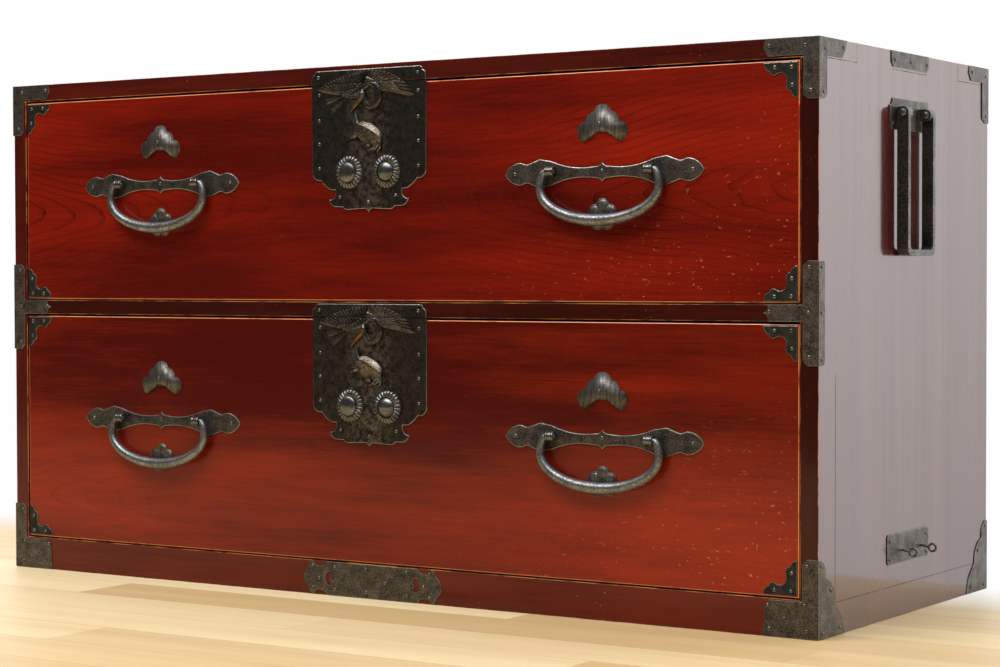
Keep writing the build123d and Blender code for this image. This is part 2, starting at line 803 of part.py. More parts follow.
def landing_plate(face, at):
    """Thin plate with a bevelled edge, that a bail lands on."""
    plate = on_front(face, face_y, strike_crown, at=at)
    return chamfer(plate.faces().sort_by(Axis.Y)[0].edges(), strike_crown - strike_edge)


def pine():
    return outline((0, 21.5), (10.5, 14.5, 0.17), (21, 3.5, 0.14), (28, -13, 0.33), (17, -15, 0.34),
                   (0, -8.2, -0.13), mirrored=True)


def plum():
    """Five round petals."""
    points = []
    for i in range(5 * plum_chords):
        turn = 2 * math.pi * i / (5 * plum_chords)
        radius = plum_spread + plum_petal * abs(math.sin(2.5 * turn)) ** 0.5
        points.append((-radius * math.sin(turn), -radius * math.cos(turn)))
    return polygon(points)


def pine_at(x, drawer):
    return (x, drawer.handle_z + pine_rise)


def landing_plates(drawer):
    """Pine plates above the handles and plum plates below them."""
    plates = []
    for x in (handle_left_x, handle_right_x):
        plates.append(landing_plate(pine(), pine_at(x, drawer)))
        plates.append(landing_plate(plum(), (x, drawer.handle_z - plum_drop)))
    return group(plates)


def bail_eyes(drawer):
    """Barrel-headed pins driven through the handle plates."""
    eyes = []
    for x in (handle_left_x, handle_right_x):
        for side in (-1, 1):
            start = (x + side * eye_x - eye_length / 2, pivot_y, drawer.pivot_z)
            barrel = rod((1, 0, 0), eye_radius, start, eye_length)
            shank_start = (x + side * eye_x, pivot_y, drawer.pivot_z)
            shank = rod((0, 1, 0), eye_shank_radius, shank_start, pivot_stand_off + eye_shank_length)
            hole = rod((1, 0, 0), bail_end_radius + running_gap, start, eye_length)
            eyes.append(barrel + shank - hole)
    return group(eyes)


def bail(x, drawer):
    """Forged bail: turned-in ends in the eyes, a bar that thickens to the middle of the grip.

    It hangs against the plum plate, so it leans out a little.
    """
    bend = bail_half_width - bail_stub_end
    belly = bail_drop - bail_shoulder
    rest = strike_crown + bail_mid_radius + running_gap
    lean = math.degrees(math.asin((rest - pivot_stand_off) / bail_drop))

    def station(t):
        """Centre, direction and radius of the bar, t running from one end (0) to the grip's middle (1)."""
        if t <= bail_shoulder_share:
            angle = math.pi / 2 * (1 - t / bail_shoulder_share)
            at = (bail_stub_end + bend * math.cos(angle), bail_shoulder * (math.sin(angle) - 1))
            along = (bend * math.sin(angle), -bail_shoulder * math.cos(angle))
        else:
            angle = math.pi / 2 * (t - bail_shoulder_share) / (1 - bail_shoulder_share)
            at = (bail_half_width * math.cos(angle), -bail_shoulder - belly * math.sin(angle))
            along = (-bail_half_width * math.sin(angle), -belly * math.cos(angle))
        return at, along, bail_end_radius + (bail_mid_radius - bail_end_radius) * t ** 0.8

    def section(at, along, radius):
        plane = Plane((x + at[0], pivot_y, drawer.pivot_z + at[1]), x_dir=(0, 1, 0),
                      z_dir=(along[0], 0, along[1]))
        return ring(plane, round_points(radius, radius, bail_sides))

    half = [section((bail_stub_start, 0), (1, 0), bail_end_radius)]
    half += [section(*station(i / bail_stations)) for i in range(bail_stations + 1)]
    right = faceted(half)
    bar = right + Pos(x, 0, 0) * across(Pos(-x, 0, 0) * right)
    return bar.rotate(Axis((x, pivot_y, drawer.pivot_z), (1, 0, 0)), -lean)


# ---- Side fittings ----
def carry_plate():
    """Plate on the side with two lugs that the handle's legs hang on."""
    half, tall = carry_plate_half, carry_plate_height / 2
    face = outline((half - 8, tall), (half, tall - 8, -0.2), (half, -tall + 5), (half - 5, -tall, -0.2),
                   (-half + 5, -tall), (-half, -tall + 5, -0.2), (-half, tall - 8), (-half + 8, tall, -0.2))
    plate = on_side(face, half_width, carry_iron, at=(carry_plate_y, carry_plate_z))
    for inner, outer in lug_spans():
        axis_x = half_width + carry_stand_off
        lug = rod((0, 1, 0), lug_radius, (axis_x, inner, carry_pivot_z), outer - inner)
        lug += block((half_width, axis_x), (inner, outer),
                     (carry_pivot_z - lug_radius, carry_pivot_z + lug_radius))
        plate += lug
    return plate


def lug_spans():
    """Y spans of the two lugs, just inside the legs."""
    inner = carry_half_span - carry_leg - running_gap
    return [(carry_y - inner, carry_y - inner + lug_thickness),
            (carry_y + inner - lug_thickness, carry_y + inner)]


def carry_pins():
    """Domed pins through the lugs and the legs."""
    axis_x = half_width + carry_stand_off
    pins = []
    for side, (low, high) in zip((-1, 1), lug_spans()):
        start = (axis_x, high if side < 0 else low, carry_pivot_z)
        length = lug_thickness + running_gap + carry_leg + carry_pin_proud
        head = dome(Plane(start, z_dir=(0, -side, 0)), carry_pin_head, carry_pin_proud,
                    carry_pin_crown - carry_pin_proud)
        end = (axis_x, start[1] + side * (length - carry_pin_proud), carry_pivot_z)
        peen = dome(Plane(end, z_dir=(0, side, 0)).offset(running_gap), carry_pin_head, carry_pin_proud,
                    carry_pin_crown - carry_pin_proud)
        pins.append(rod((0, side, 0), carry_pin_radius, start, length) + head + peen)
    return pins


def carry_handle():
    """U of flat bar whose round leg ends turn on the pins."""
    half, leg, drop = carry_half_span, carry_leg, carry_drop
    bend, inner_bend = carry_bend, carry_bend - leg / 2
    crown, quarter = carry_bar / 2, math.tan(math.pi / 8) / 2
    side = [(half, crown), (half, -drop + bend), (half - bend, -drop, quarter), (0, -drop)]
    hollow = [(half - leg, crown), (half - leg, -drop + leg + inner_bend),
              (half - leg - inner_bend, -drop + leg, quarter), (0, -drop + leg)]
    u_shape = outline((0, crown), *side, mirrored=True) - outline((0, crown), *hollow, mirrored=True)
    bar_x = half_width + carry_stand_off - carry_bar / 2
    bar = on_side(u_shape, bar_x, carry_bar, at=(carry_y, carry_pivot_z))
    start = (half_width + carry_stand_off, carry_y - half, carry_pivot_z)
    rounded = rod((0, 1, 0), crown, start, 2 * half)
    below = block((bar_x, bar_x + carry_bar), (carry_y - half, carry_y + half),
                  (carry_pivot_z - drop, carry_pivot_z))
    bar &= rounded + below
    return bar - rod((0, 1, 0), carry_pin_radius + running_gap, start, 2 * half)


CARRY_PLATE_NAILS = [(-48, 7.5), (-48, -10), (48.5, 7.5), (48.5, -10)]


def ring_plate():
    half, tall = ring_plate_half, ring_plate_height / 2
    face = outline((half - 3, tall), (half, tall - 3), (half, -tall + 3), (half - 3, -tall),
                   (-half + 3, -tall), (-half, -tall + 3), (-half, tall - 3), (-half + 3, tall))
    return on_side(face, half_width, iron, at=(carry_y, ring_plate_z))


RING_PLATE_NAILS = [(u, v) for u in (-48.5, 49) for v in (9.0, -10.5)]


def ring_pins():
    """Pins with ring heads, a little drooped."""
    pins = []
    for side in (-1, 1):
        y = ring_pin_y + side * ring_pin_spacing / 2
        centre = (half_width + ring_reach, y, ring_plate_z - ring_droop)
        start = (half_width - ring_pin_depth, y, ring_plate_z + ring_pin_rise)
        reach = math.dist(start, centre) - ring_radius
        along = [centre[i] - start[i] for i in range(3)]
        shank = rod(along, ring_shank, start, reach)
        ring_start = (centre[0], y - ring_wire, centre[2])
        ring = rod((0, 1, 0), ring_radius + ring_wire, ring_start, 2 * ring_wire)
        hole = rod((0, 1, 0), ring_radius - ring_wire, ring_start, 2 * ring_wire)
        pins.append(shank + ring - hole)
    return pins


# ---- Nails ----
def front_nail():
    """Low faceted head on the surface at the origin, and a tapered shank behind it."""
    base = front_plane(0)
    head = loft([base * RegularPolygon(nail_head, 6), Vertex(0, -nail_height, 0)], ruled=True)
    shank = loft([base * RegularPolygon(nail_shank, 3), Vertex(0, nail_length, 0)], ruled=True)
    return head + shank


NAIL = front_nail()


def nails_on_front(points, surface_y, at=(0, 0)):
    return [Pos(at[0] + u, surface_y, at[1] + v) * NAIL for u, v in points]


def nails_on_side(points, surface_x, at=(0, 0)):
    return [Pos(surface_x, at[0] + u, at[1] + v) * (Rot(0, 0, 90) * NAIL) for u, v in points]


def case_nails():
    iron_y = front_y - iron
    edge_x = half_width + iron
    tee_z = upper_bay[0] - middle_rail_height / 2
    right = nails_on_front(TOP_IRON_NAILS, iron_y, (edge_x, case_height))
    right += nails_on_front(TEE_NAILS, iron_y, (edge_x, tee_z))
    right += nails_on_front(BOTTOM_IRON_NAILS, iron_y, (edge_x, 0))
    right += nails_on_side(TOP_FLANGE_NAILS, edge_x, (iron_y, case_height))
    right += nails_on_side(TEE_FLANGE_NAILS, edge_x, (iron_y, tee_z))
    right += nails_on_side(SCALLOP_NAILS, edge_x, (iron_y, 0))
    right += nails_on_side(REAR_TOP_NAILS, edge_x, (half_depth, case_height))
    right += nails_on_side([(-u, v) for u, v in SCALLOP_NAILS], edge_x, (half_depth, 0))
    right += nails_on_side(EDGE_PLATE_NAILS, edge_x, (0, case_height))
    right += nails_on_side(CARRY_PLATE_NAILS, half_width + carry_iron, (carry_plate_y, carry_plate_z))
    right += nails_on_side(RING_PLATE_NAILS, edge_x, (carry_y, ring_plate_z))
    middle = nails_on_front(BASE_NAILS, iron_y)
    for drawer in drawers:
        height = (drawer.keeper[0] + drawer.keeper[1]) / 2
        middle += nails_on_front([(-69, 0), (68.5, 0)], front_y - lock_iron, (lock_x, height))
    return group(right + [across(nail) for nail in right] + middle)


LOCK_NAILS = [(side * 68.5, v) for side in (-1, 1) for v in (-9.5, -38.5, -65.0, -92.5)]
LOCK_NAILS += [(-40, -125.5), (37.5, -124.5), (0, -131.5)]


def drawer_nails(drawer):
    nails = nails_on_front(LOCK_NAILS, lock_y, (lock_x, drawer.top))
    for at, side, up in drawer_corners(drawer):
        nails += nails_on_front([(side * u, up * v) for u, v in CORNER_NAILS], face_y - iron, at)
    for x in (handle_left_x, handle_right_x):
        nails += nails_on_front(HANDLE_NAILS, face_y - pull_iron, (x, drawer.handle_z))
        nails += nails_on_front([(-3, 1.5)], face_y - strike_crown, pine_at(x, drawer))
    return group(nails)


# ---- Nodes ----
nodes = {
    "right_side_board": right_side_board(),
    "left_side_board": across(right_side_board()),
    "top_board": top_board(),
    "bottom_rail": rail(lower_bay[0], bottom_rail_height),
    "middle_rail": middle_rail(),
    "bottom_board": shelf(bottom_low(), bottom_rail_height),
    "dust_board": shelf(upper_bay[0] - dust_board_thickness, upper_bay[0]),
    "bottom_battens": bottom_battens(),
    "back_panel": back_panel(),
    "drawer_stops": drawer_stops(),
    "top_corner_irons": both_sides([top_corner_iron()]),
    "middle_corner_irons": both_sides([middle_corner_iron()]),
    "bottom_corner_irons": both_sides([bottom_corner_iron()]),
    "rear_top_irons": both_sides([rear_top_iron()]),
    "rear_bottom_irons": both_sides([rear_bottom_iron()]),
    "top_edge_plates": both_sides([top_edge_plate()]),
    "base_plate": base_plate(),
    "carry_plates": both_sides([carry_plate()]),
    "carry_pins": both_sides(carry_pins()),
    "right_carry_handle": carry_handle(),
    "left_carry_handle": across(carry_handle()),
    "ring_plates": both_sides([ring_plate()]),
    "ring_pins": both_sides(ring_pins()),
    "case_nails": case_nails(),
}

for drawer in drawers:
    made = {
        "drawer_front": drawer_front(drawer),
        "drawer_sides": drawer_sides(drawer),
        "drawer_back": drawer_back(drawer),
        "drawer_bottom": drawer_bottom(drawer),
        "corner_plates": corner_plates(drawer),
        "lock_keeper": keeper_plate(drawer),
        "lock_plate": lock_plate(drawer),
        "lock_rosettes": lock_rosettes(drawer),
        "lock_button": lock_button(drawer),
        "lock_tortoise": lock_tortoise(drawer),
        "lock_case": lock_case(drawer),
        "lock_bolt": lock_bolt(drawer),
        "pull_plates": pull_plates(drawer),
        "landing_plates": landing_plates(drawer),
        "bail_eyes": bail_eyes(drawer),
        "left_bail": bail(handle_left_x, drawer),
        "right_bail": bail(handle_right_x, drawer),
        "drawer_nails": drawer_nails(drawer),
    }
    for name, shape in made.items():
        nodes[f"{drawer.name}_{name}"] = shape

for name, shape in nodes.items():
    export_step(shape, f"parts/{name}.step")
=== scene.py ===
import json
import random
from math import atan2, copysign, cos, dist, pi, radians, sin, sqrt

import bmesh
import bpy
import numpy as np
from mathutils import Matrix, Vector, noise
from mathutils.geometry import tessellate_polygon

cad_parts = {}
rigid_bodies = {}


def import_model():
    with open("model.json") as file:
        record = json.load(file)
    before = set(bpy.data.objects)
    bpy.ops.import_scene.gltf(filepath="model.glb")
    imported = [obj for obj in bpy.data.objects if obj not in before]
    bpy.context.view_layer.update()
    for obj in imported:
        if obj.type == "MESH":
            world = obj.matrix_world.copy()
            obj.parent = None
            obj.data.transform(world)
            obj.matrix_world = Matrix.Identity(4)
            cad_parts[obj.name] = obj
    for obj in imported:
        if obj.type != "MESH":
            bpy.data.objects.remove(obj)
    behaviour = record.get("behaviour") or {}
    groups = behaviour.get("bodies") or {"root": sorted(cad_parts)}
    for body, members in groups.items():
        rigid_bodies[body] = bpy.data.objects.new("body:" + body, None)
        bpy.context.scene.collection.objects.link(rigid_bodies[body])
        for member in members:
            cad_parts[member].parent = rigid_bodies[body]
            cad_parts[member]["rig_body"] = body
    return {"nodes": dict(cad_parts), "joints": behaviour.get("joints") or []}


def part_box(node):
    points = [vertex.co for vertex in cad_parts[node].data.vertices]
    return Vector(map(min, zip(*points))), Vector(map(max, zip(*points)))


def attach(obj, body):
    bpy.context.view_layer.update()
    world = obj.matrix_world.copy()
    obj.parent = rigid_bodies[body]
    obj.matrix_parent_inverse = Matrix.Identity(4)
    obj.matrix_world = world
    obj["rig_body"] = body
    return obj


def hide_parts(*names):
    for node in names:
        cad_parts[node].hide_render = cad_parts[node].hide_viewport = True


# Looks of a lacquered clothing chest with iron fittings. Metres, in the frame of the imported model.

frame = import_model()
scene = bpy.context.scene
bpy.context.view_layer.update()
joint_at = {joint["name"]: Vector(joint["pos_m"]) for joint in frame["joints"] if joint.get("pos_m")}
rng = random.Random(11)

MM = 0.001
X, Y, Z = range(3)
FRONT = Vector((0, -1, 0))
DRAWERS = ("upper", "lower")
SIDES = ("left", "right")


# ---------------- shader nodes
class Output:
    """Output of a node; arithmetic on it adds the nodes that work it out."""

    def __init__(self, nodes, node, output=0):
        self.nodes = nodes
        self.socket = node.outputs[output]

    def __add__(self, other):
        return self.nodes.math("ADD", self, other)

    def __sub__(self, other):
        return self.nodes.math("SUBTRACT", self, other)

    def __rsub__(self, other):
        return self.nodes.math("SUBTRACT", other, self)

    def __mul__(self, other):
        return self.nodes.math("MULTIPLY", self, other)

    def __truediv__(self, other):
        return self.nodes.math("DIVIDE", self, other)

    def __abs__(self):
        return self.nodes.math("ABSOLUTE", self)


class Nodes:
    """A node tree, with short calls for the nodes in it."""

    def __init__(self, tree):
        self.tree = tree

    def feed(self, socket, value):
        if isinstance(value, Output):
            self.tree.links.new(value.socket, socket)
        else:
            socket.default_value = value

    def node(self, kind, *values, settings=(), **inputs):
        """New node, fed in the order of its inputs and by their names."""
        node = self.tree.nodes.new(kind)
        for key, value in dict(settings).items():
            setattr(node, key, value)
        for key, value in [*enumerate(values), *inputs.items()]:
            self.feed(node.inputs[key], value)
        return node

    def add(self, kind, *values, output=0, **inputs):
        """One output of a new node."""
        return Output(self, self.node(kind, *values, **inputs), output)

    def math(self, operation, *values):
        return self.add("ShaderNodeMath", *values, settings={"operation": operation})

    def axes(self, place):
        node = self.node("ShaderNodeSeparateXYZ", place)
        return [Output(self, node, axis) for axis in (X, Y, Z)]

    def span(self, value, low, high, out_low=0.0, out_high=1.0):
        """Value between low and high, mapped to the range from out_low to out_high."""
        return self.add("ShaderNodeMapRange", value, low, high, out_low, out_high)

    def ramp(self, value, *stops):
        node = self.node("ShaderNodeValToRGB", value)
        elements = node.color_ramp.elements
        while len(elements) < len(stops):
            elements.new(0.5)
        for element, (position, colour) in zip(elements, stops):
            element.position = position
            element.color = (*colour, 1)
        return Output(self, node)

    def mix(self, factor, a, b):
        """Colour between two, each an output or a plain colour."""
        node = self.node("ShaderNodeMix", factor, settings={"data_type": "RGBA"})
        for socket, value in zip(node.inputs[6:8], (a, b)):
            self.feed(socket, (*value, 1) if isinstance(value, tuple) else value)
        return Output(self, node, 2)


class Shader(Nodes):
    """A Principled material, with short calls for what feeds it."""

    def __init__(self, name, **plain):
        self.material = bpy.data.materials.new(name)
        self.material.use_nodes = True
        super().__init__(self.material.node_tree)
        self.principled = self.tree.nodes["Principled BSDF"]
        for socket, value in plain.items():
            self.principled.inputs[socket.replace("_", " ")].default_value = value
        self.place = self.add("ShaderNodeTexCoord", output="Object")

    def noise(self, scale, stretch=(1, 1, 1), detail=4.0, roughness=0.55, distortion=0.0, shift=(0, 0, 0)):
        moved = self.add("ShaderNodeMapping", Vector=self.place, Scale=stretch, Location=shift)
        return self.add("ShaderNodeTexNoise", Vector=moved, Scale=scale, Detail=detail,
                        Roughness=roughness, Distortion=distortion)

    def set(self, name, value):
        """Feeds an input of the Principled node."""
        self.feed(self.principled.inputs[name], value)

    def finished(self, colour, *layers, coat=False):
        """The material with its colour, bumped by (height, distance) layers, the finest last."""
        self.set("Base Color", colour)
        below = {}
        for height, distance in layers:
            below = {"Normal": self.add("ShaderNodeBump", Height=height, Distance=distance, **below)}
        self.set("Normal", below["Normal"])
        if coat:
            self.set("Coat Normal", below["Normal"])
        return self.material


# ---------------- materials
LACQUER = {"Coat_Roughness": 0.1, "Specular_IOR_Level": 0.08}
METAL = {"Metallic": 0.85, "Specular_IOR_Level": 0.5}
RINGS_PER_METRE = 150.0      # year rings in the drawer fronts
HEART_DEPTH = 0.034          # of the tree's heart under their faces
HEART_TAPER = 0.13           # how fast the rings run together along the board
SEAM_Y = -0.186              # fine seams in the side boards: an upright one, which ends at SEAM_TOP,
SEAM_Z = 0.0335              # and a level one that starts from it
SEAM_TOP = 0.27
SEAM_WIDTH = (0.0003, 0.0008)    # from a seam's middle to where it begins to fade and where it has faded
LOCK_X = -0.002              # middle of the lock plates
PLANK_WIDTH = 0.09
PLANK_LENGTH = 0.9
PLANK_SHIFT = 0.37           # of the ends from one row of planks to the next


def mean(a, b):
    return tuple((p + q) / 2 for p, q in zip(a, b))


def dimmed(colour, share):
    return tuple(share * part for part in colour)


def along_grain(grain, share):
    """Stretch of a pattern that is drawn out along one axis."""
    return [share if axis == grain else 1.0 for axis in (X, Y, Z)]


def drawer_lacquer(drawer, heart_x, heart_z, dark, bright, fade, grain, two_hearts):
    """Red lacquer over a plain-sawn board: clouds, year rings round one heart or two, worn specks.

    fade is painted light and shade, what the tone gains at the lower and the upper edge, grain the strength
    of rings by a heart.
    """
    low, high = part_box(f"{drawer}_drawer_front")
    s = Shader(f"{drawer}_front_lacquer", Roughness=0.42, Coat_Weight=0.5, Coat_IOR=1.45, **LACQUER)
    x, _, z = s.axes(s.place)
    drift = s.noise(3.0, (1.0, 1, 2.2), detail=3)
    wander = s.noise(26.0, (0.35, 1, 1.6), detail=3)
    across = z - heart_z + drift * 0.05
    radius = s.math("SQRT", across * across + HEART_DEPTH ** 2)
    from_heart = (abs(x) if two_hearts else x) - heart_x
    ring = radius - from_heart * HEART_TAPER + wander * 0.006
    late_wood = s.math("POWER", s.math("FRACT", ring * RINGS_PER_METRE), 11.0)
    fibre = s.noise(60.0, (0.22, 1, 14.0), detail=6, roughness=0.7)
    cloud = s.noise(2.2, (0.8, 1, 6.0), detail=6, roughness=0.64, shift=(heart_x * 9, 0, heart_z * 7))
    # Painted light and shade by height: the tone gains fade at the lower and the upper edge.
    tone = cloud * 0.9 + fibre * 0.3 + s.span(z, low.z, high.z, *fade)
    tone += s.span(abs(x + 0.1), 0.1, 0.46, -0.17, 0.02)
    ground = s.ramp(tone, (0.4, dark), (0.6, mean(dark, bright)), (0.8, bright))
    patchy = s.span(s.noise(5.0, (0.6, 1, 1.6)), 0.35, 0.65, 0.25, 0.95)
    near_heart = s.span(abs(from_heart), 0.1, 0.4, grain, 0.12)
    grained = s.mix(late_wood * patchy * near_heart, ground, dimmed(dark, 0.25))
    streak = s.span(s.noise(34.0, (0.1, 1, 9.0), detail=5, roughness=0.75), 0.66, 0.82, 0.0, 0.4)
    streaked = s.mix(streak, grained, (0.42, 0.022, 0.004))
    from_corner = (high.x - x) * 0.55 + (z - low.z)
    crumbs = s.span(s.noise(300.0, (0.6, 1, 1.0), detail=3), 0.66, 0.72)
    crumbs *= s.span(from_corner, 0.05, 0.24, 0.8, 0.05)
    return s.finished(s.mix(crumbs, streaked, (0.58, 0.2, 0.11)),
                      (s.noise(9.0, (0.4, 1, 1)), 0.0003), (fibre, 0.00005), coat=True)


def side_seams(s):
    """The seams of the side boards, 1 in the middle of one."""
    _, y, z = s.axes(s.place)
    upright = s.span(abs(y - SEAM_Y), *SEAM_WIDTH, 1.0, 0.0)
    upright *= s.span(z, SEAM_TOP - 0.02, SEAM_TOP, 1.0, 0.0) * s.span(z, SEAM_Z - 0.001, SEAM_Z)
    level = s.span(abs(z - SEAM_Z), *SEAM_WIDTH, 0.5, 0.0) * s.span(y, SEAM_Y - 0.001, SEAM_Y)
    return s.math("MAXIMUM", upright, level)


def case_lacquer(name, grain, dark, bright, coat=1.0, coat_ior=1.5, seams=False):
    """Dark red-brown polished lacquer over boards whose grain runs along one axis."""
    s = Shader(name, Coat_Weight=coat, Coat_IOR=coat_ior, Roughness=0.35, **LACQUER)
    along = along_grain(grain, 0.05)
    fibre = s.noise(120.0, along, detail=5, roughness=0.65)
    board = s.noise(16.0, along, detail=3)
    cloud = s.noise(4.0, detail=3)
    ground = s.ramp(fibre * 0.4 + (board * 0.35 + cloud * 0.25), (0.4, dark), (0.66, bright))
    speck = s.span(s.noise(380.0, detail=1.5), 0.72, 0.77) * s.span(s.noise(9.0), 0.52, 0.64)
    ground = s.mix(speck, ground, (0.45, 0.15, 0.05))
    if seams:
        seam = side_seams(s)
        ground = s.mix(seam, ground, (0.006, 0.003, 0.002))
        s.set("Coat Weight", coat - seam)
    return s.finished(ground, (board, 0.0006), (fibre, 0.00006), coat=True)


def worn_edge(name, lacquer, wood, share):
    """Eased edge where the lacquer is rubbed through to golden wood in places."""
    s = Shader(name, Roughness=0.34, Coat_Weight=0.4, Coat_Roughness=0.2)
    patches = s.noise(22.0, detail=4, roughness=0.7)
    return s.finished(s.mix(s.span(patches, 0.62 - share, 0.72 - share), lacquer, wood),
                      (s.noise(300.0, detail=3), 0.00008))


def bare_wood(name, grain, light, dark):
    """Pale unfinished board."""
    s = Shader(name, Roughness=0.72, Specular_IOR_Level=0.3)
    along = along_grain(grain, 0.035)
    year = s.noise(34.0, along, detail=3, distortion=0.6)
    fibre = s.noise(240.0, along, detail=5, roughness=0.7)
    stain = s.noise(3.5, detail=4)
    ground = s.ramp(year * 0.6 + fibre * 0.4, (0.36, dark), (0.62, light))
    return s.finished(s.mix(s.span(stain, 0.5, 0.75, 0.0, 0.4), ground, dimmed(dark, 0.6)),
                      (year, 0.0004), (fibre, 0.00015))


def iron(name, dark, bright, grain, roughness=(0.38, 0.62), pit=0.00012, coat=0.0):
    """Black-brown iron with a fine hammered and pitted skin, which is smoother where it is bright."""
    s = Shader(name, Coat_Weight=coat, Coat_Roughness=0.3, **METAL)
    coarse = s.noise(grain * 0.12, detail=3)
    fine = s.noise(grain, detail=3, roughness=0.65)
    pits = s.add("ShaderNodeTexVoronoi", Vector=s.place, Scale=grain * 0.9)
    tone = fine * 0.65 + coarse * 0.35
    s.set("Roughness", s.span(tone, 0.35, 0.65, roughness[1], roughness[0]))
    return s.finished(s.ramp(tone, (0.4, dark), (0.66, bright)),
                      (coarse, 0.0004), (pits, pit), (fine, pit * 0.8))


def lock_iron():
    """Nearly black sheet, mottled brown and raised a little up the middle of each lock."""
    s = Shader("lock_sheet", **METAL)
    x, _, _ = s.axes(s.place)
    middle = s.span(abs(x - LOCK_X), 0.012, 0.036, 1.0, 0.0)
    mottle = s.noise(170.0, detail=4, roughness=0.6)
    fine = s.noise(620.0, detail=3, roughness=0.65)
    tone = fine * 0.55 + mottle * 0.45
    plain = s.ramp(tone, (0.4, (0.008, 0.007, 0.006)), (0.7, (0.075, 0.066, 0.058)))
    brown = s.ramp(tone, (0.4, (0.022, 0.017, 0.013)), (0.64, (0.17, 0.14, 0.115)))
    s.set("Roughness", s.span(tone, 0.35, 0.65, 0.55, 0.34))
    return s.finished(s.mix(middle * s.span(mottle, 0.38, 0.58), plain, brown),
                      (mottle * s.span(middle, 0.0, 1.0, 0.35, 1.0), 0.0007), (fine, 0.00014))


def brushed_iron():
    """Sheet brushed upwards."""
    s = Shader("brushed_iron", **METAL)
    brushed = s.noise(420.0, (1.0, 1, 0.12), detail=4, roughness=0.6)
    fine = s.noise(900.0, detail=3, roughness=0.65)
    tone = brushed * 0.55 + fine * 0.45
    s.set("Roughness", s.span(tone, 0.35, 0.65, 0.52, 0.34))
    return s.finished(s.ramp(tone, (0.38, (0.03, 0.027, 0.024)), (0.66, (0.24, 0.225, 0.21))),
                      (brushed, 0.00012), (fine, 0.00006))


def floor_material():
    """Pale oak planks that fade into the white background away from the chest."""
    s = Shader("pale_floor", Roughness=0.45, Specular_IOR_Level=0.35)
    x, y, _ = s.axes(s.place)
    row = s.math("FLOOR", y / PLANK_WIDTH)
    end = s.math("FLOOR", (x + row * PLANK_SHIFT) / PLANK_LENGTH)
    tint = s.add("ShaderNodeTexWhiteNoise", Vector=s.add("ShaderNodeCombineXYZ", row, end))
    grain = s.noise(16.0, (0.12, 1.6, 1), detail=5, roughness=0.6)
    wood = s.ramp(tint * 0.5 + grain * 0.5, (0.25, (0.66, 0.47, 0.23)), (0.75, (0.92, 0.76, 0.46)))
    seam = s.span(abs(s.math("FRACT", y / PLANK_WIDTH) - 0.5), 0.488, 0.497, 0.0, 0.5)
    s.set("Base Color", s.mix(seam, wood, (0.36, 0.22, 0.11)))
    fade = s.span(y, 0.04, 0.23) * s.add("ShaderNodeLightPath", output="Is Camera Ray")
    white = s.add("ShaderNodeEmission", Color=(1, 1, 1, 1), Strength=1.0)
    faded = s.add("ShaderNodeMixShader", fade, Output(s, s.principled), white)
    s.feed(s.tree.nodes["Material Output"].inputs["Surface"], faded)
    return s.material


# fade paints light and shade by height: the lower drawer lighter at its bottom, as a painted glow of the
# floor it mirrors, and darker at its top; the upper drawer a little darker at its bottom and lighter at its
# top.
FRONTS = {
    "upper": drawer_lacquer("upper", 0.42, 0.47, (0.08, 0.0024, 0.0006), (0.285, 0.0125, 0.002),
                            fade=(-0.02, 0.03), grain=1.0, two_hearts=True),
    "lower": drawer_lacquer("lower", -0.62, 0.12, (0.065, 0.002, 0.0006), (0.315, 0.0215, 0.0034),
                            fade=(0.09, -0.09), grain=0.45, two_hearts=False),
}
FRONT_EDGE = worn_edge("front_edge", (0.42, 0.05, 0.012), (0.9, 0.32, 0.1), 0.26)
POLISHED = {"dark": (0.055, 0.005, 0.0036), "bright": (0.115, 0.012, 0.008), "coat_ior": 1.95}
SIDE_LACQUER = case_lacquer("side_lacquer", Z, **POLISHED, seams=True)
TOP_LACQUER = case_lacquer("top_lacquer", X, **POLISHED)
TOP_FRONT = case_lacquer("top_front_lacquer", X, (0.034, 0.0034, 0.0022), (0.1, 0.01, 0.005), 0.4)
RAIL_LACQUER = case_lacquer("rail_lacquer", X, (0.02, 0.0022, 0.0016), (0.06, 0.006, 0.003), 0.35)
# Bottom rail: lighter than the middle rail, partly its own redder tone and partly a painted glow of the warm
# floor that it mirrors.
BASE_LACQUER_WITH_PAINTED_GLOW = case_lacquer("base_rail_lacquer_painted_glow", X, (0.06, 0.0055, 0.0026), (0.15, 0.015, 0.005), 0.35)
STILES = {
    "left": case_lacquer("left_stile_lacquer", Z, (0.045, 0.0045, 0.0028), (0.12, 0.012, 0.006), 0.4),
    "right": case_lacquer("right_stile_lacquer", Z, (0.016, 0.0018, 0.0014), (0.05, 0.005, 0.0026), 0.4),
}
CASE_EDGE = worn_edge("case_edge", (0.06, 0.009, 0.005), (0.62, 0.22, 0.055), 0.17)
BOARD_X = bare_wood("bare_boards_x", X, (0.6, 0.44, 0.27), (0.42, 0.28, 0.15))
BOARD_Y = bare_wood("bare_boards_y", Y, (0.62, 0.46, 0.29), (0.44, 0.3, 0.17))
SHEET = iron("iron_sheet", (0.016, 0.013, 0.011), (0.19, 0.162, 0.142), 700.0, coat=0.35)
PULL_SHEET = iron("pull_sheet", (0.014, 0.012, 0.011), (0.16, 0.14, 0.128), 620.0, pit=0.00016)
DARK_SHEET = iron("drawer_corner_iron", (0.008, 0.009, 0.008), (0.075, 0.082, 0.074), 700.0)
SHEET_EDGE = iron("iron_sheet_edge", (0.16, 0.16, 0.155), (0.42, 0.42, 0.41), 700.0, (0.24, 0.4))
LOCK_SHEET = lock_iron()
RELIEF = iron("lock_relief", (0.02, 0.018, 0.016), (0.115, 0.104, 0.095), 800.0, (0.2, 0.34), 0.00005)
TORTOISE = iron("tortoise_iron", (0.035, 0.026, 0.018), (0.19, 0.16, 0.13), 600.0, (0.26, 0.42), 0.00014)
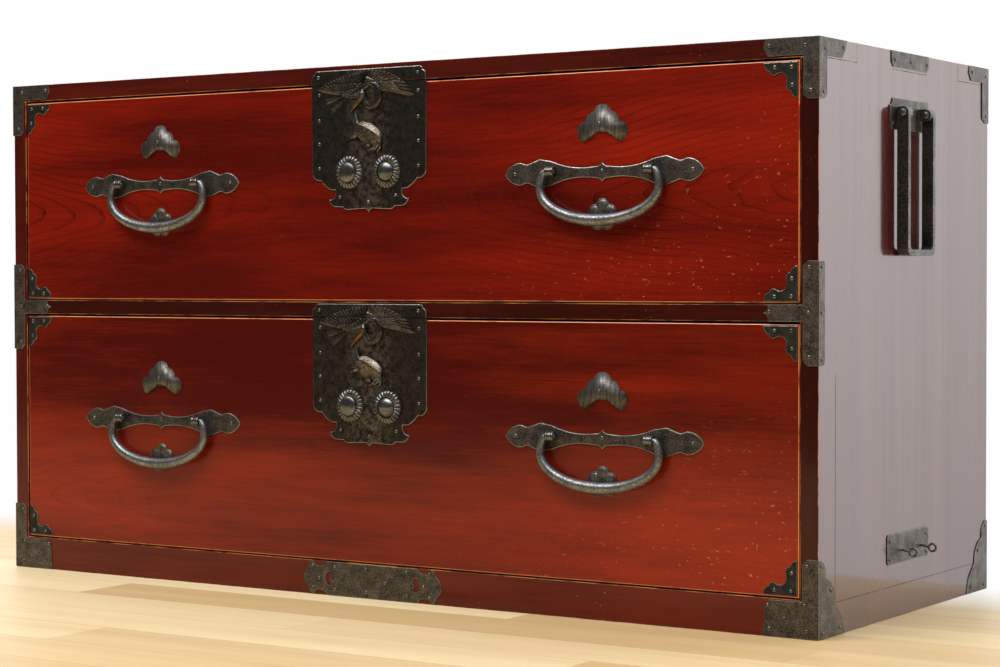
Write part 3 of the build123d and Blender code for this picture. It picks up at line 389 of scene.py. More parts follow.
BOSS = iron("boss_iron", (0.075, 0.073, 0.07), (0.22, 0.217, 0.21), 500.0, (0.18, 0.32), 0.00003)
BAIL_IRON = iron("bail_iron", (0.085, 0.09, 0.095), (0.34, 0.35, 0.36), 520.0, (0.3, 0.46), 0.00008)
CARRY_IRON = iron("carry_iron", (0.03, 0.03, 0.03), (0.22, 0.22, 0.22), 520.0, (0.3, 0.46), 0.00008)
PLATE_IRON = brushed_iron()
NAIL_IRON = iron("nail_iron", (0.07, 0.066, 0.062), (0.24, 0.23, 0.22), 900.0, (0.16, 0.28), 0.00003)
GOLD = iron("worn_brass", (0.07, 0.038, 0.015), (0.24, 0.135, 0.05), 700.0, (0.34, 0.5), 0.00005)


# ---------------- mesh tools
def add_object(name, data):
    """New object in the scene."""
    thing = bpy.data.objects.new(name, data)
    scene.collection.objects.link(thing)
    return thing


def add_mesh(name, parts, materials, body, smooth_angle=40.0, weld=False):
    """One object from parts of (vertices, faces, material index), riding on a body."""
    verts, faces, index = [], [], []
    for part_verts, part_faces, material in parts:
        faces += [[i + len(verts) for i in face] for face in part_faces]
        index += [material] * len(part_faces)
        verts += [tuple(v) for v in part_verts]
    mesh = bpy.data.meshes.new(name)
    mesh.from_pydata(verts, [], faces)
    for material in materials:
        mesh.materials.append(material)
    mesh.polygons.foreach_set("material_index", index)
    work = bmesh.new()
    work.from_mesh(mesh)
    if weld:
        bmesh.ops.remove_doubles(work, verts=work.verts, dist=1e-6)
    bmesh.ops.recalc_face_normals(work, faces=work.faces)
    work.to_mesh(mesh)
    work.free()
    mesh.shade_smooth()
    mesh.set_sharp_from_angle(angle=radians(smooth_angle))
    piece = add_object(name, mesh)
    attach(piece, body)
    return piece


def rings_to_faces(count, sides, ends="caps"):
    """Faces between rings of vertices that follow each other; ends are caps, open, or joined into a loop."""
    faces = []
    for i in range(count if ends == "joined" else count - 1):
        this, after = i * sides, (i + 1) % count * sides
        for j in range(sides):
            k = (j + 1) % sides
            faces.append((this + j, this + k, after + k, after + j))
    if ends == "caps":
        faces.append(tuple(reversed(range(sides))))
        faces.append(tuple(range((count - 1) * sides, count * sides)))
    return faces


def tube(path, radii, sides=16, flat=None, flatness=1.0, material=0):
    """Bar along points; flat is the direction in which the section is flatness times its width."""
    path = [Vector(p) for p in path]
    verts = []
    normal = None
    for i, point in enumerate(path):
        along = (path[min(i + 1, len(path) - 1)] - path[max(i - 1, 0)]).normalized()
        if flat is not None:
            normal = Vector(flat)
        elif normal is None:
            normal = along.orthogonal()
        normal = (normal - along * normal.dot(along)).normalized()
        side = along.cross(normal)
        radius = radii[i] if isinstance(radii, (list, tuple)) else radii
        for j in range(sides):
            turn = 2 * pi * j / sides
            verts.append(point + side * cos(turn) * radius + normal * sin(turn) * radius * flatness)
    return verts, rings_to_faces(len(path), sides), material


def lathe(profile, base, axis, sides=32, wave=None, ends="caps"):
    """Rings of (radius, height) in mm round an axis; wave(turn, level) scales one and adds to the other."""
    axis = Vector(axis).normalized()
    u = axis.orthogonal().normalized()
    v = axis.cross(u)
    verts = []
    for level, (radius, height) in enumerate(profile):
        for j in range(sides):
            turn = 2 * pi * j / sides
            scale, lift = wave(turn, level) if wave else (1.0, 0.0)
            out = u * cos(turn) + v * sin(turn)
            verts.append(Vector(base) + (out * radius * scale + axis * (height + lift)) * MM)
    return verts, rings_to_faces(len(profile), sides, ends), 0


def bezier(points, count):
    """Points along a Bezier curve of any degree."""
    result = []
    for i in range(count):
        t = i / (count - 1)
        work = [Vector(p) for p in points]
        while len(work) > 1:
            work = [a.lerp(b, t) for a, b in zip(work, work[1:])]
        result.append(work[0])
    return result


def hermite(start, edge, first, last, count):
    """Points of a curve along an edge, from its start up to its end, with the tangents at both ends."""
    result = []
    for t in (k / count for k in range(count)):
        bend = first * (t ** 3 - 2 * t ** 2 + t) + last * (t ** 3 - t ** 2)
        result.append(start + edge * (3 * t ** 2 - 2 * t ** 3) + bend)
    return result


def box_of(points):
    """Lowest and highest corner of the box round some points."""
    columns = list(zip(*points))
    return Vector([min(column) for column in columns]), Vector([max(column) for column in columns])


def welded(node, reach):
    """Mesh of a CAD node for editing, its vertices joined where they lie in one place."""
    work = bmesh.new()
    work.from_mesh(frame["nodes"][node].data)
    bmesh.ops.remove_doubles(work, verts=work.verts, dist=reach)
    return work


def islands(node):
    """Vertex clouds of the separate solids in a CAD node, each with the corners of its box."""
    work = welded(node, 1e-6)
    todo = dict.fromkeys(work.verts)
    clouds = []
    while todo:
        stack = [todo.popitem()[0]]
        cloud = []
        while stack:
            vert = stack.pop()
            cloud.append(vert.co.copy())
            for edge in vert.link_edges:
                other = edge.other_vert(vert)
                if other in todo:
                    del todo[other]
                    stack.append(other)
        clouds.append((cloud, *box_of(cloud)))
    work.free()
    return clouds


def dressed(node, materials, edge=0.35 * MM, segments=2, sharp=30.0, worn_rounds=False):
    """Copy of a CAD node with eased edges in the last material; a middle one is for faces to the front."""
    source = frame["nodes"][node]
    mesh = source.data.copy()
    work = welded(node, 2e-6)
    bmesh.ops.dissolve_limit(work, angle_limit=radians(0.6), verts=work.verts, edges=work.edges)
    bmesh.ops.recalc_face_normals(work, faces=work.faces)
    work.to_mesh(mesh)
    work.free()
    mesh.materials.clear()
    for material in materials:
        mesh.materials.append(material)
    for polygon in mesh.polygons:
        faces_front = polygon.normal.y < -0.7
        polygon.material_index = 1 if faces_front and len(materials) == 3 else 0
        if worn_rounds and max(abs(part) for part in polygon.normal) < 0.98:
            polygon.material_index = len(materials) - 1
    mesh.shade_smooth()
    piece = add_object(f"{node}_dressed", mesh)
    bevel = piece.modifiers.new("eased edges", "BEVEL")
    bevel.width = edge
    bevel.segments = segments
    bevel.limit_method = "ANGLE"
    bevel.angle_limit = radians(sharp)
    bevel.material = len(materials) - 1
    flat = piece.modifiers.new("flat faces", "WEIGHTED_NORMAL")
    flat.mode = "FACE_AREA"
    flat.weight = 100
    flat.thresh = 0.0
    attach(piece, source["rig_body"])
    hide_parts(node)
    return piece


def face_loops(node):
    """Rims of a CAD part's faces to the front, material always on the left; holes run backwards."""
    work = welded(node, 2e-6)
    faces = dict.fromkeys(face for face in work.faces if face.normal.dot(FRONT) > 0.95)
    follow = {}
    for face in faces:
        for corner in face.loops:
            if not any(other in faces for other in corner.edge.link_faces if other is not face):
                follow[corner.vert] = corner.link_loop_next.vert
    loops = []
    while follow:
        vert = next(iter(follow))
        loop = []
        while vert in follow:
            loop.append(vert.co.copy())
            vert = follow.pop(vert)
        loops.append(loop)
    work.free()
    return loops


def turned_area(loop):
    """Signed area of a loop, seen from the front."""
    return 0.5 * sum((a.cross(b) for a, b in zip(loop, loop[1:] + loop[:1])), Vector()).dot(FRONT)


CORNER = radians(33)         # two chords that meet at more than this meet in a corner
STRAIGHT = 12 * MM           # chords of an arc are shorter than this
HOLLOWED = 3 * STRAIGHT      # edges longer than this get the hollow
HOLLOW_STEPS = 24
CHORD_STEPS = 5


def smoothed(loop, hollow):
    """The curve that a CAD part's chords stand for; long edges stay straight or get a hollow."""
    count = len(loop)
    edges = [loop[(i + 1) % count] - loop[i] for i in range(count)]

    def turned(edge, way):
        """Edge as it runs at its start (way 1) or its end (-1), where a hollow turns a long one."""
        return edge + way * 4 * hollow * FRONT.cross(edge) if edge.length > HOLLOWED else edge

    def tangent(i):
        before, after = turned(edges[i - 1], -1), turned(edges[i % count], 1)
        if before.angle(after) > CORNER:
            return None
        if before.length > STRAIGHT or after.length > STRAIGHT:
            return max(before, after, key=lambda edge: edge.length).normalized()
        return (before.normalized() + after.normalized()).normalized()

    result = []
    for i, edge in enumerate(edges):
        start = loop[i]
        if edge.length > STRAIGHT:
            result.append(start)
            if hollow and edge.length > HOLLOWED:
                inward = FRONT.cross(edge) * hollow
                shares = [k / HOLLOW_STEPS for k in range(1, HOLLOW_STEPS)]
                result += [start + edge * t + inward * 4 * t * (1 - t) for t in shares]
            continue
        along = edge.normalized()
        first, last = tangent(i), tangent(i + 1)
        if first is None and last is None:
            result.append(start)
            continue
        first = first or 2 * last.dot(along) * along - last
        last = last or 2 * first.dot(along) * along - first
        result += hermite(start, edge, first * edge.length, last * edge.length, CHORD_STEPS)
    return result


def inset(loop, width, keen_z):
    """Loop moved into the material; points at the height keen_z stay."""
    result = []
    for i, point in enumerate(loop):
        before = FRONT.cross((point - loop[i - 1]).normalized())
        after = FRONT.cross((loop[(i + 1) % len(loop)] - point).normalized())
        middle = (before + after).normalized()
        reach = width / max(0.5, middle.dot(before))
        if keen_z is not None and abs(point.z - keen_z) < 0.1 * MM:
            reach = 0.0
        result.append(point + middle * reach)
    return result


def plates(node, materials, body, edge=0.4 * MM, hollow=0.0, keen_z=None):
    """Flat plates with the CAD part's outline as smooth curves, and a rounded edge in the second material."""
    loops = [smoothed(loop, hollow) for loop in face_loops(node)]
    holes = [loop for loop in loops if turned_area(loop) <= 0]
    low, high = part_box(node)
    thickness = high.y - low.y
    parts = []
    for rim in (loop for loop in loops if turned_area(loop) > 0):
        low, high = box_of(rim)
        inner = [hole for hole in holes if low.x < hole[0].x < high.x and low.z < hole[0].z < high.z]
        fronts = []
        for loop in [rim] + inner:
            steps = ((0.0, thickness), (0.0, edge), (0.3 * edge, 0.3 * edge), (edge, 0.0))
            rings = [[v - FRONT * depth for v in inset(loop, width, keen_z)] for width, depth in steps]
            faces = rings_to_faces(len(rings), len(loop), "open")
            parts.append(([v for ring in rings for v in ring], faces, 1))
            fronts.append(rings[-1])
        verts = [v for front in fronts for v in front]
        parts.append((verts, [tuple(face) for face in tessellate_polygon(fronts)], 0))
        back = [v - FRONT * thickness for loop in [rim] + inner for v in loop]
        parts.append((back, [tuple(reversed(face)) for face in tessellate_polygon([rim] + inner)], 0))
    piece = add_mesh(f"{node}_smooth", parts, materials, body, 18, weld=True)
    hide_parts(node)


def finish_node(node, material):
    """Gives a CAD node its material."""
    mesh = frame["nodes"][node].data
    mesh.materials.clear()
    mesh.materials.append(material)


# ---------------- woodwork
for side in SIDES:
    dressed(f"{side}_side_board", [SIDE_LACQUER, STILES[side], CASE_EDGE], 0.5 * MM)
dressed("top_board", [TOP_LACQUER, TOP_FRONT, CASE_EDGE], 0.5 * MM)
dressed("middle_rail", [RAIL_LACQUER, CASE_EDGE], 0.5 * MM)
dressed("bottom_rail", [BASE_LACQUER_WITH_PAINTED_GLOW, CASE_EDGE], 0.5 * MM)
for board in ("bottom_board", "dust_board", "back_panel", "drawer_stops"):
    finish_node(board, BOARD_X)
finish_node("bottom_battens", BOARD_Y)
for drawer in DRAWERS:
    dressed(f"{drawer}_drawer_front", [FRONTS[drawer], FRONT_EDGE], 0.9 * MM, 3,
            worn_rounds=True)
    finish_node(f"{drawer}_drawer_sides", BOARD_Y)
    for part in ("back", "bottom"):
        finish_node(f"{drawer}_drawer_{part}", BOARD_X)

# ---------------- iron sheet
for irons in ("top_corner_irons", "middle_corner_irons", "bottom_corner_irons", "rear_top_irons",
              "rear_bottom_irons", "top_edge_plates", "ring_plates"):
    dressed(irons, [SHEET, SHEET_EDGE])
plates("base_plate", [SHEET, SHEET_EDGE], "case")
dressed("carry_plates", [SHEET, SHEET_EDGE])
for drawer in DRAWERS:
    body = f"{drawer}_drawer"
    plates(f"{drawer}_corner_plates", [DARK_SHEET, SHEET_EDGE], body)
    plates(f"{drawer}_pull_plates", [PULL_SHEET, SHEET_EDGE], body, 0.8 * MM, hollow=0.065)
    keeper_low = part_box(f"{drawer}_lock_keeper")[0].z
    plate_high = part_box(f"{drawer}_lock_plate")[1].z
    plates(f"{drawer}_lock_keeper", [LOCK_SHEET, SHEET_EDGE], "case", 0.8 * MM, keen_z=keeper_low)
    plates(f"{drawer}_lock_plate", [LOCK_SHEET, SHEET_EDGE], body, 0.8 * MM, keen_z=plate_high)
    dressed(f"{drawer}_lock_case", [SHEET, SHEET_EDGE])
    dressed(f"{drawer}_lock_bolt", [BAIL_IRON, SHEET_EDGE])


# ---------------- nails
NAIL_RADIUS = 2.25           # mm
NAIL_RISE = 1.2 * MM         # of a CAD head over its plate


def nail(foot, outward, radius):
    """Low domed head, a little uneven, and the upper end of its shank."""
    squeeze = rng.uniform(-0.08, 0.08)
    lean = rng.uniform(0, 2 * pi)
    top = 1.25
    dome = [(radius * cos(a), top * sin(a)) for a in (0.0, 0.35, 0.75, 1.15)]

    def wave(turn, level):
        return 1 + squeeze * cos(2 * (turn - lean)), 0.0

    return lathe([(radius * 0.9, -0.8), *dome, (radius * 0.1, top)], foot, outward, 12, wave)


def nails(node, body):
    """Domed heads for the nails in a CAD node, each to the side that its head points to."""
    parts = []
    for cloud, low, high in islands(node):
        middle = (low + high) / 2
        if high.x - low.x > high.y - low.y:
            outward = Vector((copysign(1, middle.x), 0, 0))
        else:
            outward = FRONT
        tip = max(v.dot(outward) for v in cloud)
        foot = middle + outward * (tip - NAIL_RISE - middle.dot(outward))
        parts.append(nail(foot, outward, NAIL_RADIUS * rng.uniform(0.92, 1.08)))
    piece = add_mesh(f"{node}_domed", parts, [NAIL_IRON], body)
    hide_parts(node)


nails("case_nails", "case")
for drawer in DRAWERS:
    nails(f"{drawer}_drawer_nails", f"{drawer}_drawer")


# ---------------- drawer handles
BAIL_HALF = 72.3 * MM        # half width of a bail at its widest
BAIL_DROP = 52.3 * MM        # from its hinge to the middle of the grip
BAIL_SHOULDER = 17.0 * MM    # from its hinge to where it is widest
STUB_START, STUB_END = 54.5 * MM, 65.6 * MM    # straight end that sits in an eye, from the bail's middle
BAIL_END, BAIL_MIDDLE = 3.2 * MM, 6.6 * MM     # radii of the bar
BAIL_STEPS = 24
SHOULDER_SHARE = 0.3         # of the way from the stub to the middle of the grip
BAIL_LEAN = radians(1.75)


def bail_station(t):
    """Centre and radius of the bar, t from one shoulder (0) to the middle of the grip (1)."""
    bend = BAIL_HALF - STUB_END
    if t <= SHOULDER_SHARE:
        turn = pi / 2 * (1 - t / SHOULDER_SHARE)
        at = (STUB_END + bend * cos(turn), BAIL_SHOULDER * (sin(turn) - 1))
    else:
        turn = pi / 2 * (t - SHOULDER_SHARE) / (1 - SHOULDER_SHARE)
        at = (BAIL_HALF * cos(turn), -BAIL_SHOULDER - (BAIL_DROP - BAIL_SHOULDER) * sin(turn))
    return at, BAIL_END + (BAIL_MIDDLE - BAIL_END) * t ** 0.8


def bail(drawer, side):
    """Forged bar that hangs from its eyes and leans out a little at the bottom."""
    node = f"{drawer}_{side}_bail"
    pivot = joint_at[f"{node}_hinge"]
    half = [((STUB_START, 0.0), BAIL_END * 0.86), ((STUB_START + 0.8 * MM, 0.0), BAIL_END)]
    half += [bail_station(i / BAIL_STEPS) for i in range(BAIL_STEPS + 1)]
    line = [((-u, v), r) for (u, v), r in half] + [((u, v), r) for (u, v), r in reversed(half[:-1])]
    path = [pivot + Vector((u, v * sin(BAIL_LEAN), v * cos(BAIL_LEAN))) for (u, v), _ in line]
    radii = [r * (1 + 0.012 * noise.noise(Vector((i * 0.7, pivot.x * 9, pivot.z * 9))))
             for i, (_, r) in enumerate(line)]
    piece = add_mesh(f"{node}_forged", [tube(path, radii, 24)], [BAIL_IRON], node, 60)
    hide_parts(node)


def bail_eyes(drawer):
    """Banded barrels that carry the bails' ends, each on a pin through the handle plate."""
    node = f"{drawer}_bail_eyes"
    pivot = joint_at[f"{drawer}_left_bail_hinge"]
    inner, outer, wide = 3.5, 5.55, 5.15
    half = [(inner, -wide), (outer - 0.7, -wide), (outer - 0.15, -wide + 0.5), (outer, -wide + 1.2),
            (outer, -wide + 2.2), (outer - 0.55, -wide + 2.9)]
    section = half + [(outer - 0.35, 0)] + [(radius, -along) for radius, along in reversed(half)]
    parts = []
    for cloud, low, high in islands(node):
        x, back = (low.x + high.x) / 2, high.y
        parts.append(lathe(section, (x, pivot.y, pivot.z), (1, 0, 0), 28, ends="joined"))
        shank = [(x, y, pivot.z) for y in (pivot.y + 4.4 * MM, back - 12 * MM, back - 0.5 * MM)]
        parts.append(tube(shank, [2.4 * MM, 2.3 * MM, 1.2 * MM], 12))
    piece = add_mesh(f"{drawer}_eye_pins", parts, [BOSS], f"{drawer}_drawer")
    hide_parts(node)


RIM_STEPS = 4                # curve points for each point of a landing plate's rim
RIM_CORNER = 0.8             # radians that make a corner in it


def rim_points(cloud):
    """Smooth outline of a landing plate where it lies on the drawer, round its middle."""
    back = max(v.y for v in cloud)
    rim = [v for v in cloud if v.y > back - 0.05 * MM]
    middle = sum(rim, Vector()) / len(rim)
    rim.sort(key=lambda v: atan2(v.z - middle.z, v.x - middle.x))
    smooth = []
    for i, b in enumerate(rim):
        a, c, d = rim[i - 1], rim[(i + 1) % len(rim)], rim[(i + 2) % len(rim)]
        sharp = (b - a).angle(c - b) > RIM_CORNER or (c - b).angle(d - c) > RIM_CORNER
        first, last = (c - b, c - b) if sharp else ((c - a) / 2, (d - b) / 2)
        smooth += hermite(b, c - b, first, last, RIM_STEPS)
    return smooth, middle


PINE_TILT = 62.0             # degrees that the pine plates seem to slope at the rim
PLUM_SPREAD, PLUM_PETAL = 9.4, 8.3    # how far out the petals are, and their radius, in mm
PINE_WIDTH = 45 * MM         # a landing plate that is wider is a pine, else a plum


def pine_plate(cloud):
    """Plate that looks strongly domed: outline rings that shrink as they rise, and their normals."""
    rim, middle = rim_points(cloud)
    levels = [(1.0, 0.0), (1.0, 0.8), (0.985, 1.1), (0.95, 1.4), (0.88, 1.75), (0.76, 2.05), (0.6, 2.25),
              (0.4, 2.4), (0.2, 2.45), (0.03, 2.47)]
    verts, normals = [], []
    for share, rise in levels:
        tilt = radians(PINE_TILT) * share ** 1.4
        for i, v in enumerate(rim):
            along = rim[(i + 7) % len(rim)] - rim[i - 7]
            radial = (v - middle).normalized()
            outward = along.cross(FRONT).normalized()
            outward = (outward * copysign(1, outward.dot(radial)) + radial).normalized()
            verts.append(middle + (v - middle) * share + FRONT * rise * MM)
            normals.append(outward * sin(tilt) + FRONT * cos(tilt))
    return (verts, rings_to_faces(len(levels), len(rim)), 0), normals


def plum_plate(cloud):
    """Five round petals, each with a chased line inside the rim and a small boss."""
    middle = rim_points(cloud)[1]
    section = [(PLUM_PETAL, 0), (PLUM_PETAL, 0.8), (7.9, 1.25), (7.3, 1.3), (6.9, 1.0), (6.4, 1.45),
               (5.2, 1.9), (3.4, 2.2), (1.6, 2.35), (0.1, 2.4)]
    turns = [radians(90 + 72 * i) for i in range(5)]
    spread = PLUM_SPREAD * MM
    return [lathe(section, middle + Vector((cos(turn), 0, sin(turn))) * spread, FRONT, 28)
            for turn in turns]


def landing_plates(drawer):
    """Pine plates over the handles and plum plates under them."""
    node = f"{drawer}_landing_plates"
    pines, normals, plums = [], [], []
    for cloud, low, high in islands(node):
        if high.x - low.x > PINE_WIDTH:
            part, directions = pine_plate(cloud)
            pines.append(part)
            normals += directions
        else:
            plums += plum_plate(cloud)
    piece = add_mesh(f"{drawer}_pines", pines, [PLATE_IRON], f"{drawer}_drawer", 180)
    piece.data.normals_split_custom_set_from_vertices(normals)
    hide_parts(node)
    piece = add_mesh(f"{drawer}_plums", plums, [PLATE_IRON], f"{drawer}_drawer", 50)
    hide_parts(node)


for drawer in DRAWERS:
    bail_eyes(drawer)
    landing_plates(drawer)
    for side in SIDES:
        bail(drawer, side)


# ---------------- side fittings
for side in SIDES:
    dressed(f"{side}_carry_handle", [CARRY_IRON, BAIL_IRON], edge=0.9 * MM, segments=3)
dressed("carry_pins", [BAIL_IRON], edge=0.3 * MM, sharp=20)


RING, WIRE = 4.0 * MM, 1.3 * MM    # radii of the ring pins' rings and of their wire
RING_STEPS = 28


def ring_pins():
    """Round wire rings on tapered pins."""
    parts = []
    for cloud, low, high in islands("ring_pins"):
        side = copysign(1, cloud[0].x)
        reach = max(v.x * side for v in cloud)
        y = (low.y + high.y) / 2
        centre = Vector((side * (reach - RING - WIRE), y, low.z + RING + WIRE))
        turns = [2 * pi * i / RING_STEPS for i in range(RING_STEPS + 1)]
        parts.append(tube([centre + Vector((cos(a), 0, sin(a))) * RING for a in turns], WIRE, 12))
        start = min(cloud, key=lambda v: v.x * side)
        foot = Vector((start.x, y, start.z))
        along = (centre - foot).normalized()
        parts.append(tube([foot, centre - along * RING], [1.1 * MM, 1.5 * MM], 12))
    piece = add_mesh("ring_pins_round", parts, [BAIL_IRON], "case")
    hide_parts("ring_pins")


ring_pins()


# ---------------- locks
class Lock:
    """Places on one lock, from its centre line and the top edge of its drawer."""

    def __init__(self, drawer):
        low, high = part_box(f"{drawer}_lock_plate")
        self.drawer = drawer
        self.x = (low.x + high.x) / 2
        self.face = low.y
        self.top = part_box(f"{drawer}_drawer_front")[1].z

    def placed(self, parts):
        """Puts relief on the lock; its points are u to the right, v up and w out of the plate, in mm."""
        origin = Vector((self.x, self.face, self.top))
        return [([origin + Vector((u, -w, v)) * MM for u, v, w in verts], faces, material)
                for verts, faces, material in parts]


PETALS = 24
BOSS_RADIUS, BUTTON_RADIUS = 11.7, 11.4
BOSS_LOW, BUTTON_LOW, BOSS_TOP = -0.3, 3.8, 8.5


def petal_ring(centre):
    """Shallow cone of long rounded petals between deep flutes, with a steep scalloped rim."""
    levels = [(19.0, -0.3, 0.9), (19.0, 0.5, 0.9), (18.7, 1.5, 1.0), (18.0, 2.5, 1.1), (16.9, 3.3, 1.2),
              (15.4, 3.9, 1.2), (13.8, 4.35, 1.1), (12.6, 4.5, 0.8), (11.9, 4.3, 0.3), (11.8, -0.3, 0.0)]

    def wave(turn, level):
        radius, height, groove = levels[level]
        sink = groove * (1 - abs(sin(turn * PETALS / 2))) ** 1.6
        return 1 - 0.7 * sink / radius, -sink if height > 0 else 0.0

    return lathe([(radius, height) for radius, height, _ in levels], centre, FRONT, PETALS * 10, wave, "open")


def boss(centre, radius, low, high):
    """Dome with a soft rim."""
    rise = high - low - 1.0
    dome = [(radius * cos(radians(a)), low + 1.0 + rise * sin(radians(a)))
            for a in range(0, 90, 9)]
    return lathe([(radius * 0.94, low), (radius, low + 0.5), *dome, (0.05, high)], centre, FRONT, 40)


def rosettes(lock):
    """Two chrysanthemums with bosses; the left boss is the lock's button, on its stem."""
    name = lock.drawer
    low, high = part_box(f"{name}_lock_button")
    left = Vector(((low.x + high.x) / 2, lock.face, (low.z + high.z) / 2))
    right = Vector((2 * lock.x - left.x, lock.face, left.z))
    parts = [petal_ring(left), petal_ring(right), boss(right, BOSS_RADIUS, BOSS_LOW, BOSS_TOP)]
    piece = add_mesh(f"{name}_rosettes", parts, [BOSS], f"{name}_drawer", 50)
    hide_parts(f"{name}_lock_rosettes")
    stem = tube([left + FRONT * 3.9 * MM, left - FRONT * 7 * MM], 2.9 * MM, 16)
    parts = [boss(left, BUTTON_RADIUS, BUTTON_LOW, BOSS_TOP), stem]
    button = add_mesh(f"{name}_button", parts, [BOSS], f"{name}_lock_button", 50)
    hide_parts(f"{name}_lock_button")


# ---------------- reliefs, in a lock's u, v and w
FEATHER_SECTION = ((1, -0.4), (0.96, 0.45), (0.8, 0.95), (0.6, 1.0), (0.35, 0.8), (-0.4, 0.4), (-0.92, 0.15),
                   (-1, -0.4))    # place across the feather, share of its height or depth in the plate
FEATHER_STEP = 0.06          # rise from one feather of a wing to the next
TIP_START = 0.86             # share of a feather's length where its round tip begins


def feather(points, width, height, lift=0.0, count=9):
    """Slanted shingle along (u, v) points, high at its upper edge, with a round tip."""
    line = bezier([(u, v, 0) for u, v in points], count)
    verts = []
    for i, p in enumerate(line):
        t = i / (count - 1)
        ahead = line[min(i + 1, count - 1)] - line[max(i - 1, 0)]
        upper = Vector((-ahead.y, ahead.x, 0)).normalized()
        if upper.y < 0:
            upper.negate()
        tip = sqrt(max(0.0, 1 - max(0.0, (t - TIP_START) / (1 - TIP_START)) ** 2))
        half = max(0.1, width / 2 * (0.5 + 0.5 * min(1.0, t / 0.5)) * tip)
        for offset, up in FEATHER_SECTION:
            q = p + upper * half * offset
            verts.append((q.x, q.y, up * height * (0.55 + 0.45 * tip) + lift if up > 0 else up))
    return verts, rings_to_faces(count, len(FEATHER_SECTION)), 0


def limb(points, radii, flatness=0.8, count=12, proud=0.0, material=0):
    """Rounded bar along (u, v) points, with its middle proud of the plate; radii are evenly spaced."""
    path = [(p.x, p.y, proud) for p in bezier([(u, v, 0) for u, v in points], count)]
    widths = np.interp(np.linspace(0, len(radii) - 1, count), range(len(radii)), radii)
    return tube(path, list(widths), 16, flat=(0, 0, 1), flatness=flatness, material=material)


def along_arc(points, t):
    """Point at share t along a polyline."""
    run = np.cumsum([0.0] + [dist(a, b) for a, b in zip(points, points[1:])])
    return [np.interp(t * run[-1], run, axis) for axis in zip(*points)]


def wing(roots, tips, count, width, height, bow, lift=0.3):
    """Fan of feathers from a line of roots to a line of tips, each one over the one before."""
    parts = []
    for i in range(count):
        root, tip = (along_arc(line, i / (count - 1)) for line in (roots, tips))
        middle = ((root[0] + tip[0]) / 2, (root[1] + tip[1]) / 2 + bow)
        parts.append(feather([root, middle, tip], width, height, lift + FEATHER_STEP * i))
    return parts


def scales(rows, count, width, height, lift):
    """Rows of short overlapping feathers; each row is a line and the way its feathers point."""
    parts = []
    for line, (du, dv) in rows:
        for i in range(count):
            u, v = along_arc(line, i / (count - 1))
            points = [(u, v), (u + du / 2, v + dv / 2), (u + du, v + dv)]
            parts.append(feather(points, width, height, lift, 6))
    return parts


def plume(root, tip, width):
    """Long tail plume: a shaft and short barbs that widen to the tip."""
    root, tip = Vector(root), Vector(tip)
    ahead = (tip - root).normalized()
    side = Vector((-ahead.y, ahead.x))
    if side.y < 0:
        side.negate()
    parts = [limb([root, tip], [0.8, 1.0, 0.7], 0.9, 8, proud=0.5)]
    for i in range(7):
        foot = root.lerp(tip, 0.42 + 0.56 * i / 6)
        reach = width * (0.55 + 0.45 * i / 6)
        for way in (1, -0.6):
            end = foot + (side * way + ahead * 0.9) * reach
            parts.append(feather([foot, foot.lerp(end, 0.5), end], 1.9, 0.8, 0.0, 6))
    return parts


RUFF_START, RUFF_SWEEP = 62, 205    # degrees
RUFF_MIDDLE = (5.0, -12.8)
RUFF_RADII = (6.2, 9.6)
RUFF_FEATHERS = 15


def neck_ruff():
    """Two arcs of small feathers round the curl of the crane's neck."""
    parts = []
    for i in range(RUFF_FEATHERS):
        turn = radians(RUFF_START - RUFF_SWEEP * i / (RUFF_FEATHERS - 1))
        ahead = Vector((sin(turn), -cos(turn))) * 1.8
        for radius in RUFF_RADII:
            middle = Vector(RUFF_MIDDLE) + Vector((cos(turn), 1.05 * sin(turn))) * radius
            parts.append(feather([middle - ahead, middle, middle + ahead], 2.8, 1.0, 3.4, 6))
    return parts


